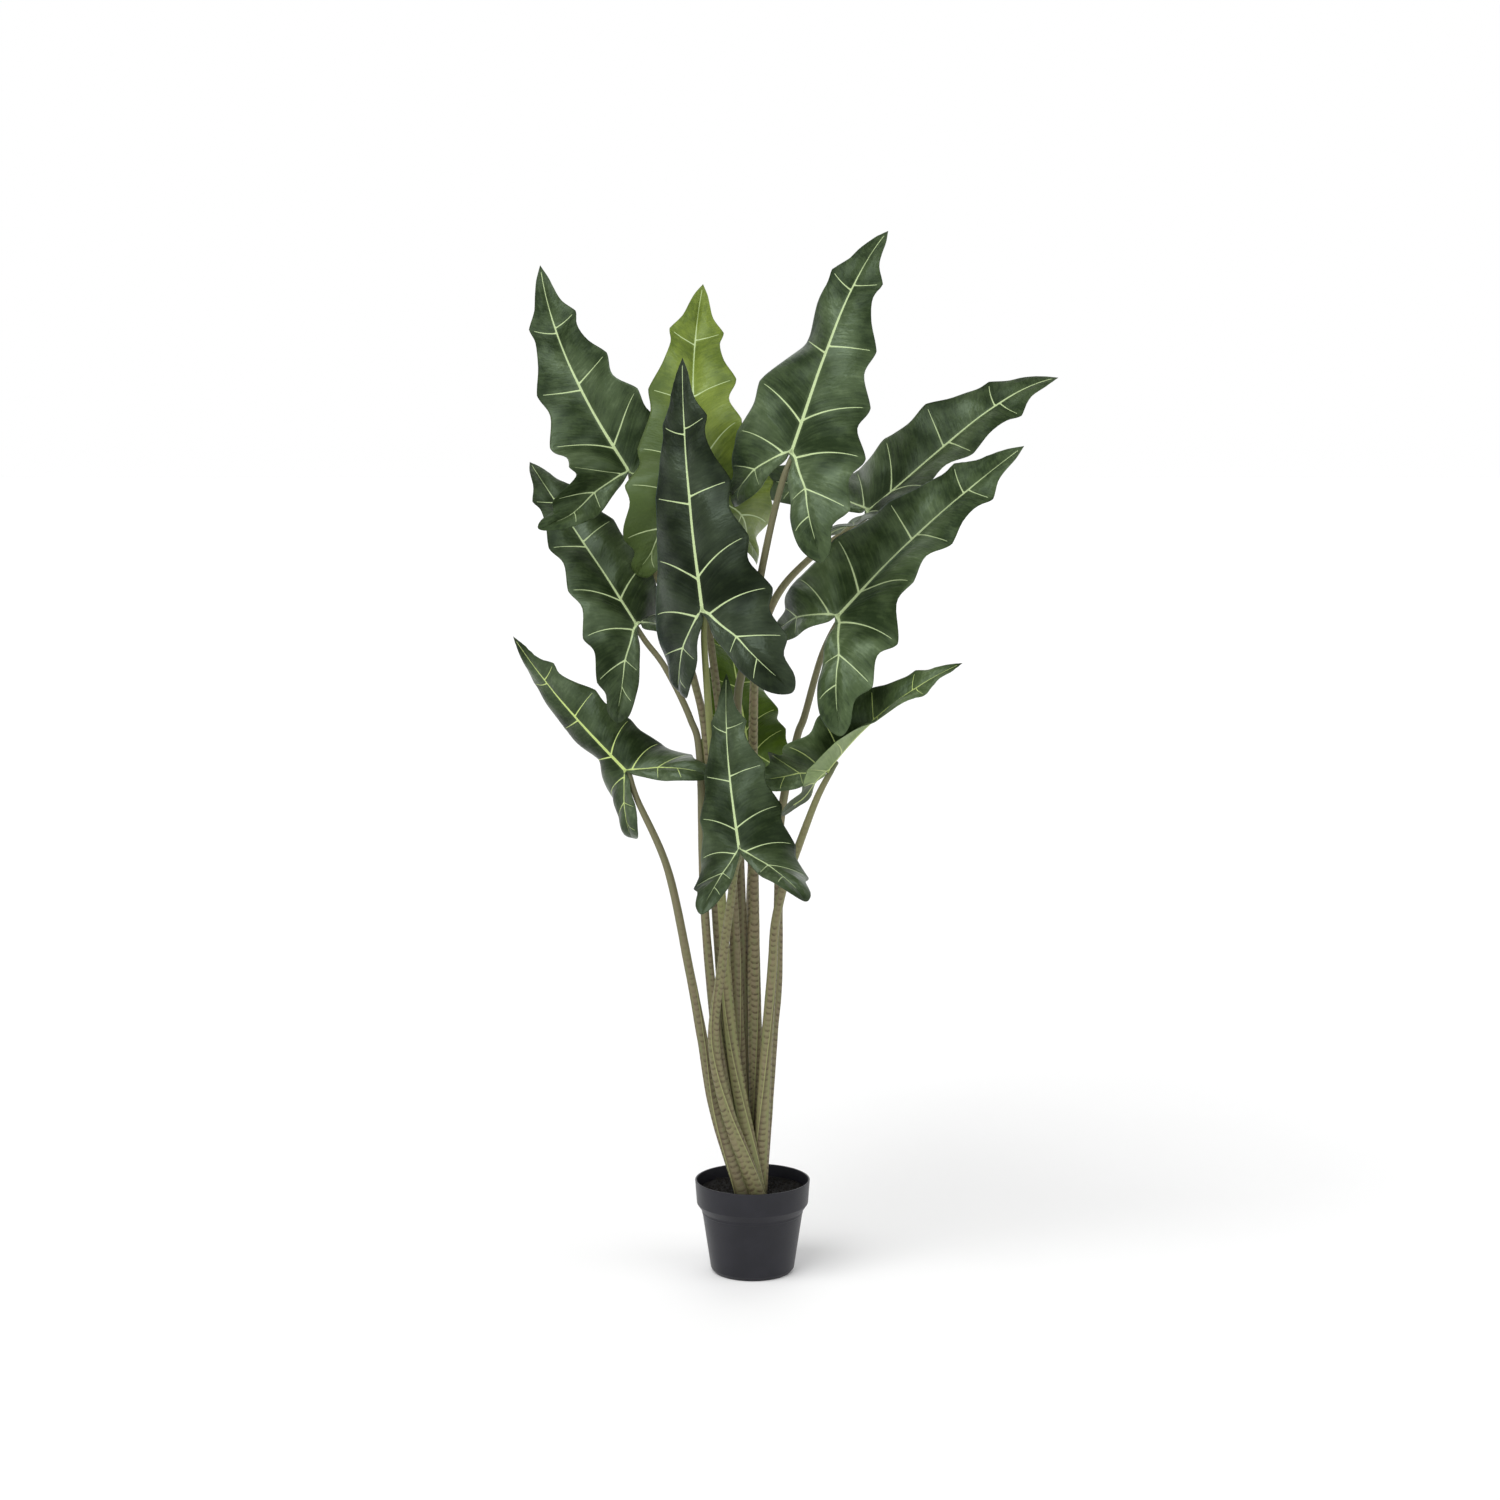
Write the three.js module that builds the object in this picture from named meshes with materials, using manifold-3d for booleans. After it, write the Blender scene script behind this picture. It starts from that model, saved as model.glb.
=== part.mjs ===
// Potted alocasia: eleven arrow-shaped leaves on banded stalks, rooted in a round nursery pot.
// Millimetres, +Z up, front towards -Y. The origin is the centre of the pot's underside.
import * as THREE from 'three';
import { mergeVertices } from 'three/addons/utils/BufferGeometryUtils.js';
import Module from 'manifold-3d';

const wasm = await Module();
wasm.setup();

// Pot
const POT_HEIGHT = 135;
const RIM_RADIUS = 83;
const COLLAR_FOOT_RADIUS = 80.5;
const COLLAR_FOOT_HEIGHT = 101;
const STEP_RADIUS = 73;
const STEP_HEIGHT = 90;
const BASE_RADIUS = 60;
const BASE_CORNER = 5;
const CORNER_CUT = 1.5;
const LIP_CUT = 1;
const POT_WALL = 2.5;
const FLOOR_THICKNESS = 3;
const ROUND_SIDES = 40;

// Soil
const SOIL_HEIGHT = 118;
const SOIL_LUMP = 1.2;
// Rings of the soil's top, as shares of its edge, and where its lumps end.
const SOIL_RINGS = [0.86, 0.66];
const LUMPS_END = 0.9;
const CLEARANCE = 0.35;

// Stalks
const STALK_SIDES = 8;
const STALK_RINGS = 17;
const STALK_DEPTH = 40;
const FOOT_TAPER = 0.97;
const FOOT_HALF_WIDTH = 11;
const FOOT_HALF_THICKNESS = 6;
const STEM_RADIUS = 6.2;
const NECK_RADIUS = 4;
const TIP_RADIUS = 2.8;
const TIP_REACH = 14;
const STALK_GAP = 1.4;
const TIP_GAP = 1.8;
const NECK_EASE = 1.3;

// Blades
const EDGE_THICKNESS = 0.9;
const BLADE_THICKNESS = 1.3;
const MIDRIB_RISE = 2.6;
const SIDE_RIB_RISE = 0.9;
const TIP_RIB_SHARE = 0.15;
const PILLOW = 0.012;
const RUFFLE = 0.009;
const LARGE_COLUMNS = [0, 0.09, 0.48, 1];
const SMALL_COLUMNS = [0, 0.12, 1];
const RIB_FOOT = 3.2;
const NARROW_ROW = 12;
const SMALL_BLADE = 300;

const RAD = Math.PI / 180;

// Half of a flat blade, in blade lengths: x across, y from the stalk's joint to the tip.
// The spine runs down the midrib and out along the rib of the rear lobe.
const SPINE = [
  [0, 1], [0, 0.935], [0, 0.87], [0, 0.8], [0, 0.715], [0, 0.64], [0, 0.55], [0, 0.44], [0, 0.3],
  [0, 0.12], [0, 0], [0.03, -0.03], [0.08, -0.078], [0.14, -0.13], [0.185, -0.185], [0.25, -0.262],
  [0.31, -0.33],
];
// The edge has a point for each spine point, then runs round the lobe's tip back to the joint.
const EDGE = [
  [0, 1], [0.028, 0.94], [0.046, 0.88], [0.064, 0.82], [0.104, 0.752], [0.102, 0.68], [0.128, 0.585],
  [0.176, 0.48], [0.172, 0.365], [0.23, 0.243], [0.222, 0.14], [0.288, 0.035], [0.272, -0.05],
  [0.33, -0.152], [0.318, -0.225], [0.352, -0.31], [0.335, -0.372], [0.245, -0.355], [0.15, -0.268],
  [0.1, -0.2], [0.048, -0.12], [0.016, -0.055], [0, -0.02],
];
const JOINT_INDEX = 10;
const LOBE_INDEX = 16;
const LOBE_RIB_END = 15.5;
// Spine points where a side rib leaves for the edge, the tip and the lobe's end included.
const RIB_ROWS = [0, 4, 7, 9, 11, 13, 16];
// Rows per spine interval: one towards the tip, two where the edge is waved.
const rowsInInterval = (i) => (i < 4 ? 1 : 2);
// Where along the blade each of the five fold angles holds.
const FOLD_AT = [-0.25, 0.03, 0.24, 0.48, 0.75];
// How far from the midrib the arch angle holds, and how far behind the joint the lobe's turn holds.
const ARCH_REACH = 0.3;
const LOBE_REACH = 0.35;
// The spread of a lobe eases in from this heading, in radians off the tip's direction, over as much again.
const SPREAD_HEADING = 1.2;

// Leaves. at: where stalk and blade meet. spin, lean and roll turn the blade, tip up and face to the
// front when all are zero. bend and curl roll the midrib forward, sway bends it sideways. Each half has
// its fold towards the face, the rear turn of its lobe, the spread of its lobe and its breadth.
// The stalk leaves the soil at foot, is a flat sheath up to a height, and follows the route.
const LEAVES = [
  {
    name: '01', length: 359, at: [-179, 100, 1152], spin: -33, lean: -25, roll: -6,
    arch: 28, bend: -7, curl: 8, sway: 23,
    left: { fold: [12, 45, 9, 4, 8], lobe: -32, spread: 29, breadth: 0.94 },
    right: { fold: [-25, -18, 8, 7, -1], lobe: 60, spread: -18, breadth: 0.94 },
    foot: [-13, -8], sheath: 640,
    route: [[-35, -8, 327], [-52, 2, 529], [-65, 24, 757], [-82, 42, 849], [-115, 72, 947],
      [-147, 94, 1025], [-170, 104, 1104]],
  },
  {
    name: '02', length: 358, at: [-77, 20, 1119], spin: -5, lean: -26, roll: -10,
    arch: -27, bend: -20, curl: 8, sway: 11,
    left: { fold: [-12, 38, 13, 24, 34], lobe: 41, spread: 8, breadth: 0.99 },
    right: { fold: [-52, -1, 40, 22, 4], lobe: 15, spread: 24, breadth: 1.04 },
    foot: [-13, 6], sheath: 700,
    route: [[-20, 5, 324], [-27, 1, 530], [-36, 6, 716], [-49, 12, 830], [-60, 18, 915],
      [-76, 24, 1028]],
  },
  {
    name: '03', length: 354, at: [-69, -110, 972], spin: -8, lean: -15, roll: -27,
    arch: -42, bend: -7, curl: 5, sway: 7,
    left: { fold: [-5, 0, -3, 1, 2], lobe: 34, spread: -3, breadth: 1.03 },
    right: { fold: [8, 2, 10, 4, 15], lobe: 9, spread: -5, breadth: 0.97 },
    foot: [9, -29], sheath: 640,
    route: [[-28, -23, 331], [-43, -22, 534], [-53, -22, 706], [-60, -36, 800], [-64, -60, 866],
      [-67, -86, 925]],
  },
  {
    name: '04', length: 347, at: [-168, 50, 937], spin: -33, lean: -22, roll: 22,
    arch: -43, bend: -30, curl: -2, sway: 10,
    left: { fold: [-11, 17, 24, 14, 9], lobe: 22, spread: 3, breadth: 0.77 },
    right: { fold: [-34, -30, 5, 19, 17], lobe: 10, spread: 38, breadth: 0.92 },
    foot: [-13, -22], sheath: 520,
    route: [[-48, -20, 330], [-68, -12, 532], [-75, 22, 743], [-89, 32, 802], [-124, 45, 872],
      [-152, 52, 909]],
  },
  {
    name: '05', length: 341, at: [55, -112, 1188], spin: 18.5, lean: -12, roll: -31,
    arch: -30, bend: 0, curl: -30, sway: 5,
    left: { fold: [-8, 7, 14, -21, 20], lobe: 36, spread: 7, breadth: 1.06 },
    right: { fold: [24, 12, 0, -5, 8], lobe: 6, spread: -9, breadth: 1.07 },
    foot: [-12, 20], sheath: 760,
    route: [[-11, 28, 319], [-17, 24, 525], [-22, -4, 804], [-11, -30, 891], [6, -70, 986],
      [24, -106, 1078], [41, -120, 1146]],
  },
  {
    name: '06', length: 336, at: [172, 140, 1094], spin: 50.5, lean: 2, roll: -62,
    arch: -7, bend: 8, curl: -52, sway: -20,
    left: { fold: [34, 2, 16, 32, 26], lobe: 21, spread: 16, breadth: 1.24 },
    right: { fold: [40, 25, 17, 3, -25], lobe: -6, spread: 13, breadth: 1.01 },
    foot: [9, 13], sheath: 900,
    route: [[4, 13, 323], [1, 29, 524], [2, 62, 839], [15, 75, 924], [40, 90, 980], [83, 108, 1025],
      [134, 128, 1062]],
  },
  {
    name: '07', length: 360, at: [122, -62, 958], spin: 42.5, lean: -13, roll: -38,
    arch: -37, bend: -16, curl: 11, sway: 10,
    left: { fold: [-7, 7, 17, 17, 25], lobe: 46, spread: 9, breadth: 1.14 },
    right: { fold: [24, 19, 41, 28, 10], lobe: 25, spread: -1, breadth: 0.97 },
    foot: [10, -1], sheath: 620,
    route: [[27, 1, 340], [35, 4, 427], [37, 8, 543], [40, 15, 658], [62, 12, 772], [74, 0, 810],
      [97, -30, 898]],
  },
  {
    name: '08', length: 258, at: [-183, 30, 728], spin: -47.5, lean: -29, roll: -8,
    arch: -56, bend: 7, curl: 27, sway: 21.5,
    left: { fold: [4, -12, -34, -24, -25], lobe: 39, spread: 8, breadth: 0.99 },
    right: { fold: [9, -20, -16, 4, 26], lobe: -12, spread: -1, breadth: 1.03 },
    foot: [-13, -36], sheath: 480,
    route: [[-52, -38, 247], [-71, -36, 349], [-90, -20, 447], [-121, 8, 587], [-165, 30, 685]],
  },
  {
    name: '09', length: 247, at: [-19, -150, 645], spin: -9, lean: -38, roll: -9,
    arch: -39, bend: 16, curl: 34, sway: 22,
    left: { fold: [28, -3, 5, -2, -4], lobe: -12, spread: -9, breadth: 0.9 },
    right: { fold: [5, -9, 1, 17, 27], lobe: -36, spread: -5, breadth: 1.17 },
    foot: [9, -43], sheath: 520,
    route: [[-36, -50, 250], [-55, -60, 354], [-44, -76, 458], [-32, -98, 548], [-24, -125, 609]],
  },
  {
    name: '10', length: 244, at: [108, -65, 743], spin: 33, lean: 26, roll: -49,
    arch: 24, bend: -38, curl: 1, sway: 8,
    left: { fold: [14, 59, 54, -10, -10], lobe: -18, spread: -13, breadth: 1.08 },
    right: { fold: [40, 60, 62, 45, 22], lobe: 14, spread: 33, breadth: 0.93 },
    foot: [10, -15], sheath: 560,
    route: [[19, -21, 316], [28, -30, 449], [32, -35, 515], [45, -42, 577], [60, -47, 617],
      [89, -58, 697]],
  },
  {
    name: '11', length: 255, at: [-5, 130, 743], spin: -10, lean: -30, roll: 10,
    arch: -14, bend: -22, curl: -4, sway: 3,
    left: { fold: [-25, 16, 20, 21, 17], lobe: 65, spread: -16, breadth: 1.04 },
    right: { fold: [-20, 45, 9, -14, 5], lobe: 70, spread: 8, breadth: 0.88 },
    foot: [0, 34], sheath: 450,
    route: [[-8, 46, 314], [-4, 75, 516], [-1, 95, 601], [-2, 118, 686]],
  },
];

const finish = (color, roughness) => new THREE.MeshStandardMaterial({ color, roughness, metalness: 0 });
const POT_FINISH = finish('#303035', 0.45);
const SOIL_FINISH = finish('#1d1b1b', 0.95);
const STALK_FINISH = finish('#8f8c5a', 0.5);
const BLADE_FINISH = finish('#33452f', 0.4);
const PALE_BLADE_FINISH = finish('#6f8c3c', 0.45);
const FRESH_BLADE_FINISH = finish('#3f7a22', 0.45);

// Smooth curve through the points, even steps from 0 to the last index.
function splinePoint(points, at) {
  const last = points.length - 1;
  const i = Math.min(Math.floor(at), last - 1);
  const t = at - i;
  const mirror = (a, b) => a.map((v, k) => 2 * v - b[k]);
  const before = i > 0 ? points[i - 1] : mirror(points[0], points[1]);
  const after = i + 2 <= last ? points[i + 2] : mirror(points[last], points[last - 1]);
  return points[i].map((b, k) => {
    const [a, c, d] = [before[k], points[i + 1][k], after[k]];
    return 0.5 * (2 * b + (c - a) * t + (2 * a - 5 * b + 4 * c - d) * t * t
      + (3 * b - a - 3 * c + d) * t * t * t);
  });
}

function smoothStep(t) {
  const s = Math.min(Math.max(t, 0), 1);
  return s * s * (3 - 2 * s);
}

// Value that passes smoothly through the given values at the given places.
function blend(at, places, values) {
  let out = values[0];
  for (let k = 1; k < places.length; k += 1) {
    const t = smoothStep((at - places[k - 1]) / (places[k] - places[k - 1]));
    out += t * (values[k] - values[k - 1]);
  }
  return out;
}

// Turns a point of the unbent blade (right, towards the tip, out of the face) into its place.
function placeBlade(leaf, [right, along, out]) {
  const v = new THREE.Vector3(right, along, out);
  v.applyAxisAngle(new THREE.Vector3(0, 1, 0), leaf.roll * RAD);
  v.applyAxisAngle(new THREE.Vector3(1, 0, 0), leaf.lean * RAD);
  v.applyAxisAngle(new THREE.Vector3(0, 0, 1), -leaf.spin * RAD);
  return new THREE.Vector3(v.x, -v.z, v.y).add(new THREE.Vector3(...leaf.at));
}

// Folds, arches and bends one point of the flat blade. rise stands out of the face.
function bladePoint(leaf, side, x, y, rise) {
  const half = side > 0 ? leaf.right : leaf.left;
  const fold = blend(y, FOLD_AT, half.fold) * RAD;
  const reach = Math.hypot(x, y);
  const heading = Math.atan2(x, y);
  const spread = heading - half.spread * RAD * smoothStep(heading / SPREAD_HEADING - 1);
  const across = reach * Math.sin(spread) * half.breadth;
  const along = reach * Math.cos(spread);
  const arch = leaf.arch * RAD * across / ARCH_REACH;
  const sideways = side * (across * Math.cos(fold + arch / 2) - rise * Math.sin(fold + arch));
  const up = across * Math.sin(fold + arch / 2) + rise * Math.cos(fold + arch);
  const ahead = Math.max(along, 0);
  const behind = Math.min(along, 0);
  const lobe = half.lobe * RAD / LOBE_REACH;
  const turn = leaf.bend * RAD * ahead + leaf.curl * RAD * ahead ** 3 - lobe * behind;
  const meanTurn = leaf.bend * RAD * ahead / 2 + leaf.curl * RAD * ahead ** 3 / 4 - lobe * behind / 2;
  const length = along * Math.cos(meanTurn) - up * Math.sin(turn);
  const out = along * Math.sin(meanTurn) + up * Math.cos(turn);
  const sway = leaf.sway * RAD * ahead ** 2;
  const size = leaf.length;
  return placeBlade(leaf, [
    size * (sideways * Math.cos(sway) + length * Math.sin(sway / 3)),
    size * (length * Math.cos(sway / 3) - sideways * Math.sin(sway)),
    size * out,
  ]);
}

// How far between two side ribs a row lies, from 0 at one rib to 1 at the next.
function betweenRibs(row) {
  const k = Math.max(RIB_ROWS.findIndex((rib) => rib >= row), 1);
  return (row - RIB_ROWS[k - 1]) / (RIB_ROWS[k] - RIB_ROWS[k - 1]);
}

// Pillows between the ribs and an edge that rises between them.
function bladeRise(row, u) {
  const phase = betweenRibs(row);
  const pillow = PILLOW * Math.sin(Math.PI * phase) * Math.sin(Math.PI * u);
  const fade = smoothStep(row / 4);
  return fade * (pillow - RUFFLE * u * u * Math.cos(2 * Math.PI * phase));
}

// Rib height over the blade: tallest at the joint, gone at the tip and at the edge.
function ribRise(row, u, columns) {
  if (u === 0) {
    const along = row <= JOINT_INDEX
      ? row / JOINT_INDEX
      : (LOBE_INDEX - row) / (LOBE_INDEX - JOINT_INDEX);
    return MIDRIB_RISE * (TIP_RIB_SHARE + (1 - TIP_RIB_SHARE) * along);
  }
  const onRib = RIB_ROWS.includes(row) && row > 0 && row < LOBE_INDEX;
  return onRib && u > columns[1] && u < 1 ? SIDE_RIB_RISE : 0;
}

// Where a row of the half blade starts on the spine and ends at the edge, in blade lengths.
function rowEnds(row, inner) {
  const [x, y] = splinePoint(SPINE, Math.min(row, LOBE_RIB_END));
  const edge = splinePoint(EDGE, inner ? 2 * LOBE_INDEX - row : row);
  return [[row > JOINT_INDEX ? x : 0, y], edge];
}

// Rows of one strip of the half blade, as spine row numbers.
function stripRows(from, to) {
  const rows = [];
  for (let i = from; i < to; i += 1) {
    const count = rowsInInterval(i);
    for (let k = 0; k < count; k += 1) rows.push(i + k / count);
  }
  rows.push(to);
  return rows;
}

// One blade as a thin closed shell: the same triangles on the face and on the back, and a rim.
function bladeGeometry(leaf, grow = 0) {
  const columns = leaf.length < SMALL_BLADE ? SMALL_COLUMNS : LARGE_COLUMNS;
  const spots = [];
  const lookup = new Map();
  const faces = [];

  function spot(side, row, u, inner) {
    const [spine, edge] = rowEnds(row, inner);
    const x = spine[0] * (1 - u) + edge[0] * u;
    const y = spine[1] * (1 - u) + edge[1] * u;
    const seam = Math.abs(x) < 1e-6;
    const key = `${seam ? 0 : side}:${x.toFixed(5)}:${y.toFixed(5)}`;
    if (!lookup.has(key)) {
      const rise = seam ? 0 : bladeRise(row, u);
      const place = bladePoint(leaf, side, Math.abs(x), y, rise);
      if (seam) place.add(bladePoint(leaf, -side, 0, y, 0)).multiplyScalar(0.5);
      const thick = EDGE_THICKNESS + (BLADE_THICKNESS - EDGE_THICKNESS) * (1 - u)
        + (inner && u > 0 ? 0 : ribRise(row, u, columns));
      lookup.set(key, spots.length);
      spots.push({ place, thick, normal: new THREE.Vector3() });
    }
    return lookup.get(key);
  }

  // The rib's foot keeps its distance from the spine, and a row too narrow for it has none.
  function columnPlace(u, row, inner) {
    if (u === 0 || u === 1) return u;
    const [spine, edge] = rowEnds(row, inner);
    const width = leaf.length * Math.hypot(edge[0] - spine[0], edge[1] - spine[1]);
    return width < NARROW_ROW ? 1 : Math.max(u, RIB_FOOT / width);
  }

  function strip(side, from, inner) {
    const rows = stripRows(from, LOBE_INDEX);
    const grid = rows.map((row) => columns.map((u) => spot(side, row, columnPlace(u, row, inner), inner)));
    for (let r = 0; r + 1 < rows.length; r += 1) {
      for (let c = 0; c + 1 < columns.length; c += 1) {
        const quad = [grid[r][c], grid[r + 1][c], grid[r + 1][c + 1], grid[r][c + 1]];
        if ((side > 0) === inner) quad.reverse();
        for (const t of [[0, 1, 2], [0, 2, 3]]) {
          const face = t.map((k) => quad[k]);
          if (new Set(face).size === 3) faces.push(face);
        }
      }
    }
    if (grow > 0) {
      for (const line of grid) {
        const rim = spots[line[line.length - 1]];
        if (rim.pushed) continue;
        rim.pushed = true;
        const away = rim.place.clone().sub(spots[line[line.length - 2]].place);
        if (away.lengthSq() > 0) rim.place.add(away.setLength(grow));
      }
    }
  }

  for (const side of [-1, 1]) {
    strip(side, 0, false);
    strip(side, JOINT_INDEX, true);
  }
  return thicken(spots, faces, grow);
}

// Gives a sheet of triangles its thickness, with a band of triangles round its open edge.
function thicken(spots, faces, grow) {
  const normal = new THREE.Vector3();
  const triangle = new THREE.Triangle();
  const open = new Map();
  for (const face of faces) {
    triangle.set(...face.map((k) => spots[k].place));
    triangle.getNormal(normal).multiplyScalar(triangle.getArea());
    for (const k of face) spots[k].normal.add(normal);
    for (let k = 0; k < 3; k += 1) {
      const [a, b] = [face[k], face[(k + 1) % 3]];
      if (!open.delete(`${b}:${a}`)) open.set(`${a}:${b}`, [a, b]);
    }
  }
  const count = spots.length;
  const positions = [];
  for (const direction of [1, -1]) {
    for (const { place, thick, normal: n } of spots) {
      const offset = n.clone().setLength(direction * (thick / 2 + grow));
      positions.push(...place.clone().add(offset).toArray());
    }
  }
  const index = [];
  for (const [a, b, c] of faces) index.push(a, b, c, c + count, b + count, a + count);
  for (const [a, b] of open.values()) index.push(b, a, a + count, b, a + count, b + count);
  const geometry = new THREE.BufferGeometry();
  geometry.setAttribute('position', new THREE.Float32BufferAttribute(positions, 3));
  geometry.setIndex(index);
  return geometry;
}

// Half width and half thickness of a stalk at a height, narrowing up to its neck.
function stalkSection(leaf, height) {
  const toNeck = (height - leaf.sheath) / (leaf.at[2] - leaf.sheath);
  const slim = STEM_RADIUS - (STEM_RADIUS - NECK_RADIUS) * Math.max(toNeck, 0) ** NECK_EASE;
  const toStem = smoothStep((height - SOIL_HEIGHT) / (leaf.sheath - SOIL_HEIGHT));
  return [
    FOOT_HALF_WIDTH + (slim - FOOT_HALF_WIDTH) * toStem,
    FOOT_HALF_THICKNESS + (slim - FOOT_HALF_THICKNESS) * toStem,
  ];
}

// Centre line of a stalk, from inside the soil up behind the blade's joint.
function stalkLine(leaf) {
  const [x, y] = leaf.foot;
  const joint = placeBlade(leaf, [0, -NECK_RADIUS, -NECK_RADIUS - STALK_GAP]);
  const tip = placeBlade(leaf, [0, TIP_REACH, -TIP_RADIUS - TIP_GAP]);
  return [
    [x * FOOT_TAPER, y * FOOT_TAPER, SOIL_HEIGHT - STALK_DEPTH],
    [x, y, SOIL_HEIGHT],
    ...leaf.route,
    joint.toArray(),
    tip.toArray(),
  ];
}

// A stalk as a closed tube of flattened rings.
function stalkGeometry(leaf, grow = 0) {
  const line = stalkLine(leaf);
  const last = line.length - 1;
  const steps = [0, 1];
  const free = STALK_RINGS - 4;
  for (let k = 1; k <= free; k += 1) steps.push(1 + (last - 2) * (k / free));
  steps.push(last - 0.4, last);
  const positions = [];
  const index = [];
  const step = 0.01;
  steps.forEach((at, ring) => {
    const centre = new THREE.Vector3(...splinePoint(line, at));
    const low = new THREE.Vector3(...splinePoint(line, Math.max(at - step, 0)));
    const high = new THREE.Vector3(...splinePoint(line, Math.min(at + step, last)));
    const tangent = high.sub(low).normalize();
    const wide = new THREE.Vector3(1, 0, 0).addScaledVector(tangent, -tangent.x).normalize();
    const deep = new THREE.Vector3().crossVectors(tangent, wide);
    const toTip = Math.max(at - (last - 1), 0);
    const slim = 1 - toTip * (1 - TIP_RADIUS / NECK_RADIUS);
    const [a, b] = stalkSection(leaf, centre.z).map((radius) => radius * slim + grow);
    if (ring === 0) centre.addScaledVector(tangent, -grow);
    for (let k = 0; k < STALK_SIDES; k += 1) {
      const turn = (2 * Math.PI * (k + 0.5)) / STALK_SIDES;
      const point = centre.clone()
        .addScaledVector(wide, a * Math.cos(turn))
        .addScaledVector(deep, b * Math.sin(turn));
      positions.push(...point.toArray());
      if (ring === 0) continue;
      const next = (k + 1) % STALK_SIDES;
      const [p, q] = [(ring - 1) * STALK_SIDES + k, (ring - 1) * STALK_SIDES + next];
      index.push(p, q, q + STALK_SIDES, p, q + STALK_SIDES, p + STALK_SIDES);
    }
  });
  const top = (steps.length - 1) * STALK_SIDES;
  for (let k = 1; k + 1 < STALK_SIDES; k += 1) index.push(0, k + 1, k, top, top + k, top + k + 1);
  const geometry = new THREE.BufferGeometry();
  geometry.setAttribute('position', new THREE.Float32BufferAttribute(positions, 3));
  geometry.setIndex(index);
  return geometry;
}

// A round body turned about the vertical axis from [radius, height] points, lowest first.
function turned(profile) {
  const geometry = new THREE.LatheGeometry(profile.map(([r, z]) => new THREE.Vector2(r, z)), ROUND_SIDES);
  return geometry.rotateX(Math.PI / 2);
}

// Pot wall seen in section: up the outside, over the rim, down the inside.
function potGeometry() {
  const inner = (radius) => radius - POT_WALL;
  return turned([
    [0, 0],
    [BASE_RADIUS - BASE_CORNER, 0],
    [BASE_RADIUS - CORNER_CUT, CORNER_CUT],
    [BASE_RADIUS, BASE_CORNER],
    [STEP_RADIUS, STEP_HEIGHT],
    [COLLAR_FOOT_RADIUS - CORNER_CUT, COLLAR_FOOT_HEIGHT - CORNER_CUT],
    [COLLAR_FOOT_RADIUS, COLLAR_FOOT_HEIGHT],
    [RIM_RADIUS, POT_HEIGHT - LIP_CUT],
    [RIM_RADIUS - LIP_CUT / 2, POT_HEIGHT],
    [inner(RIM_RADIUS) + LIP_CUT / 2, POT_HEIGHT],
    [inner(RIM_RADIUS), POT_HEIGHT - LIP_CUT],
    [inner(COLLAR_FOOT_RADIUS), COLLAR_FOOT_HEIGHT],
    [inner(STEP_RADIUS), STEP_HEIGHT],
    [inner(BASE_RADIUS), FLOOR_THICKNESS],
    [0, FLOOR_THICKNESS],
  ]);
}

// Soil that fills the pot, lumpy on top and level at the wall.
function soilGeometry() {
  const inside = (radius) => radius - POT_WALL - CLEARANCE;
  const collar = COLLAR_FOOT_RADIUS
    + (RIM_RADIUS - COLLAR_FOOT_RADIUS) * (SOIL_HEIGHT - COLLAR_FOOT_HEIGHT) / (POT_HEIGHT - COLLAR_FOOT_HEIGHT);
  const edge = inside(collar);
  const geometry = turned([
    [0, FLOOR_THICKNESS + CLEARANCE],
    [inside(BASE_RADIUS), FLOOR_THICKNESS + CLEARANCE],
    [inside(STEP_RADIUS), STEP_HEIGHT],
    [inside(COLLAR_FOOT_RADIUS), COLLAR_FOOT_HEIGHT],
    [edge, SOIL_HEIGHT],
    ...SOIL_RINGS.map((share) => [edge * share, SOIL_HEIGHT]),
    [0, SOIL_HEIGHT],
  ]);
  const position = geometry.attributes.position;
  for (let k = 0; k < position.count; k += 1) {
    const [x, y, z] = [position.getX(k), position.getY(k), position.getZ(k)];
    const radius = Math.hypot(x, y);
    if (z < SOIL_HEIGHT - 0.01 || radius > edge * LUMPS_END || radius < 1) continue;
    position.setZ(k, z + soilLump(x, y));
  }
  return geometry;
}

// Low waves over the top of the soil, from about 45 to 60 mm long.
function soilLump(x, y) {
  return SOIL_LUMP * (Math.sin(0.11 * x + 1) + Math.sin(0.13 * y + 0.07 * x));
}

// A closed geometry as a solid that can be cut.
function toSolid(geometry) {
  const bare = geometry.clone();
  bare.deleteAttribute('normal');
  bare.deleteAttribute('uv');
  const merged = mergeVertices(bare, 1e-4);
  const triVerts = [];
  const { array } = merged.index;
  for (let k = 0; k < array.length; k += 3) {
    const [a, b, c] = [array[k], array[k + 1], array[k + 2]];
    if (a !== b && b !== c && c !== a) triVerts.push(a, b, c);
  }
  return new wasm.Manifold(new wasm.Mesh({
    numProp: 3,
    vertProperties: merged.attributes.position.array,
    triVerts: Uint32Array.from(triVerts),
  }));
}

function toGeometry(solid) {
  const mesh = solid.getMesh();
  const geometry = new THREE.BufferGeometry();
  geometry.setAttribute('position', new THREE.BufferAttribute(mesh.vertProperties, 3));
  geometry.setIndex(new THREE.BufferAttribute(mesh.triVerts, 1));
  return geometry;
}

function named(name, geometry, material) {
  geometry.computeVertexNormals();
  const mesh = new THREE.Mesh(geometry, material);
  mesh.name = name;
  return mesh;
}

function bladeFinish(name) {
  if (name === '02') return PALE_BLADE_FINISH;
  if (name === '11') return FRESH_BLADE_FINISH;
  return BLADE_FINISH;
}

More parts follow.
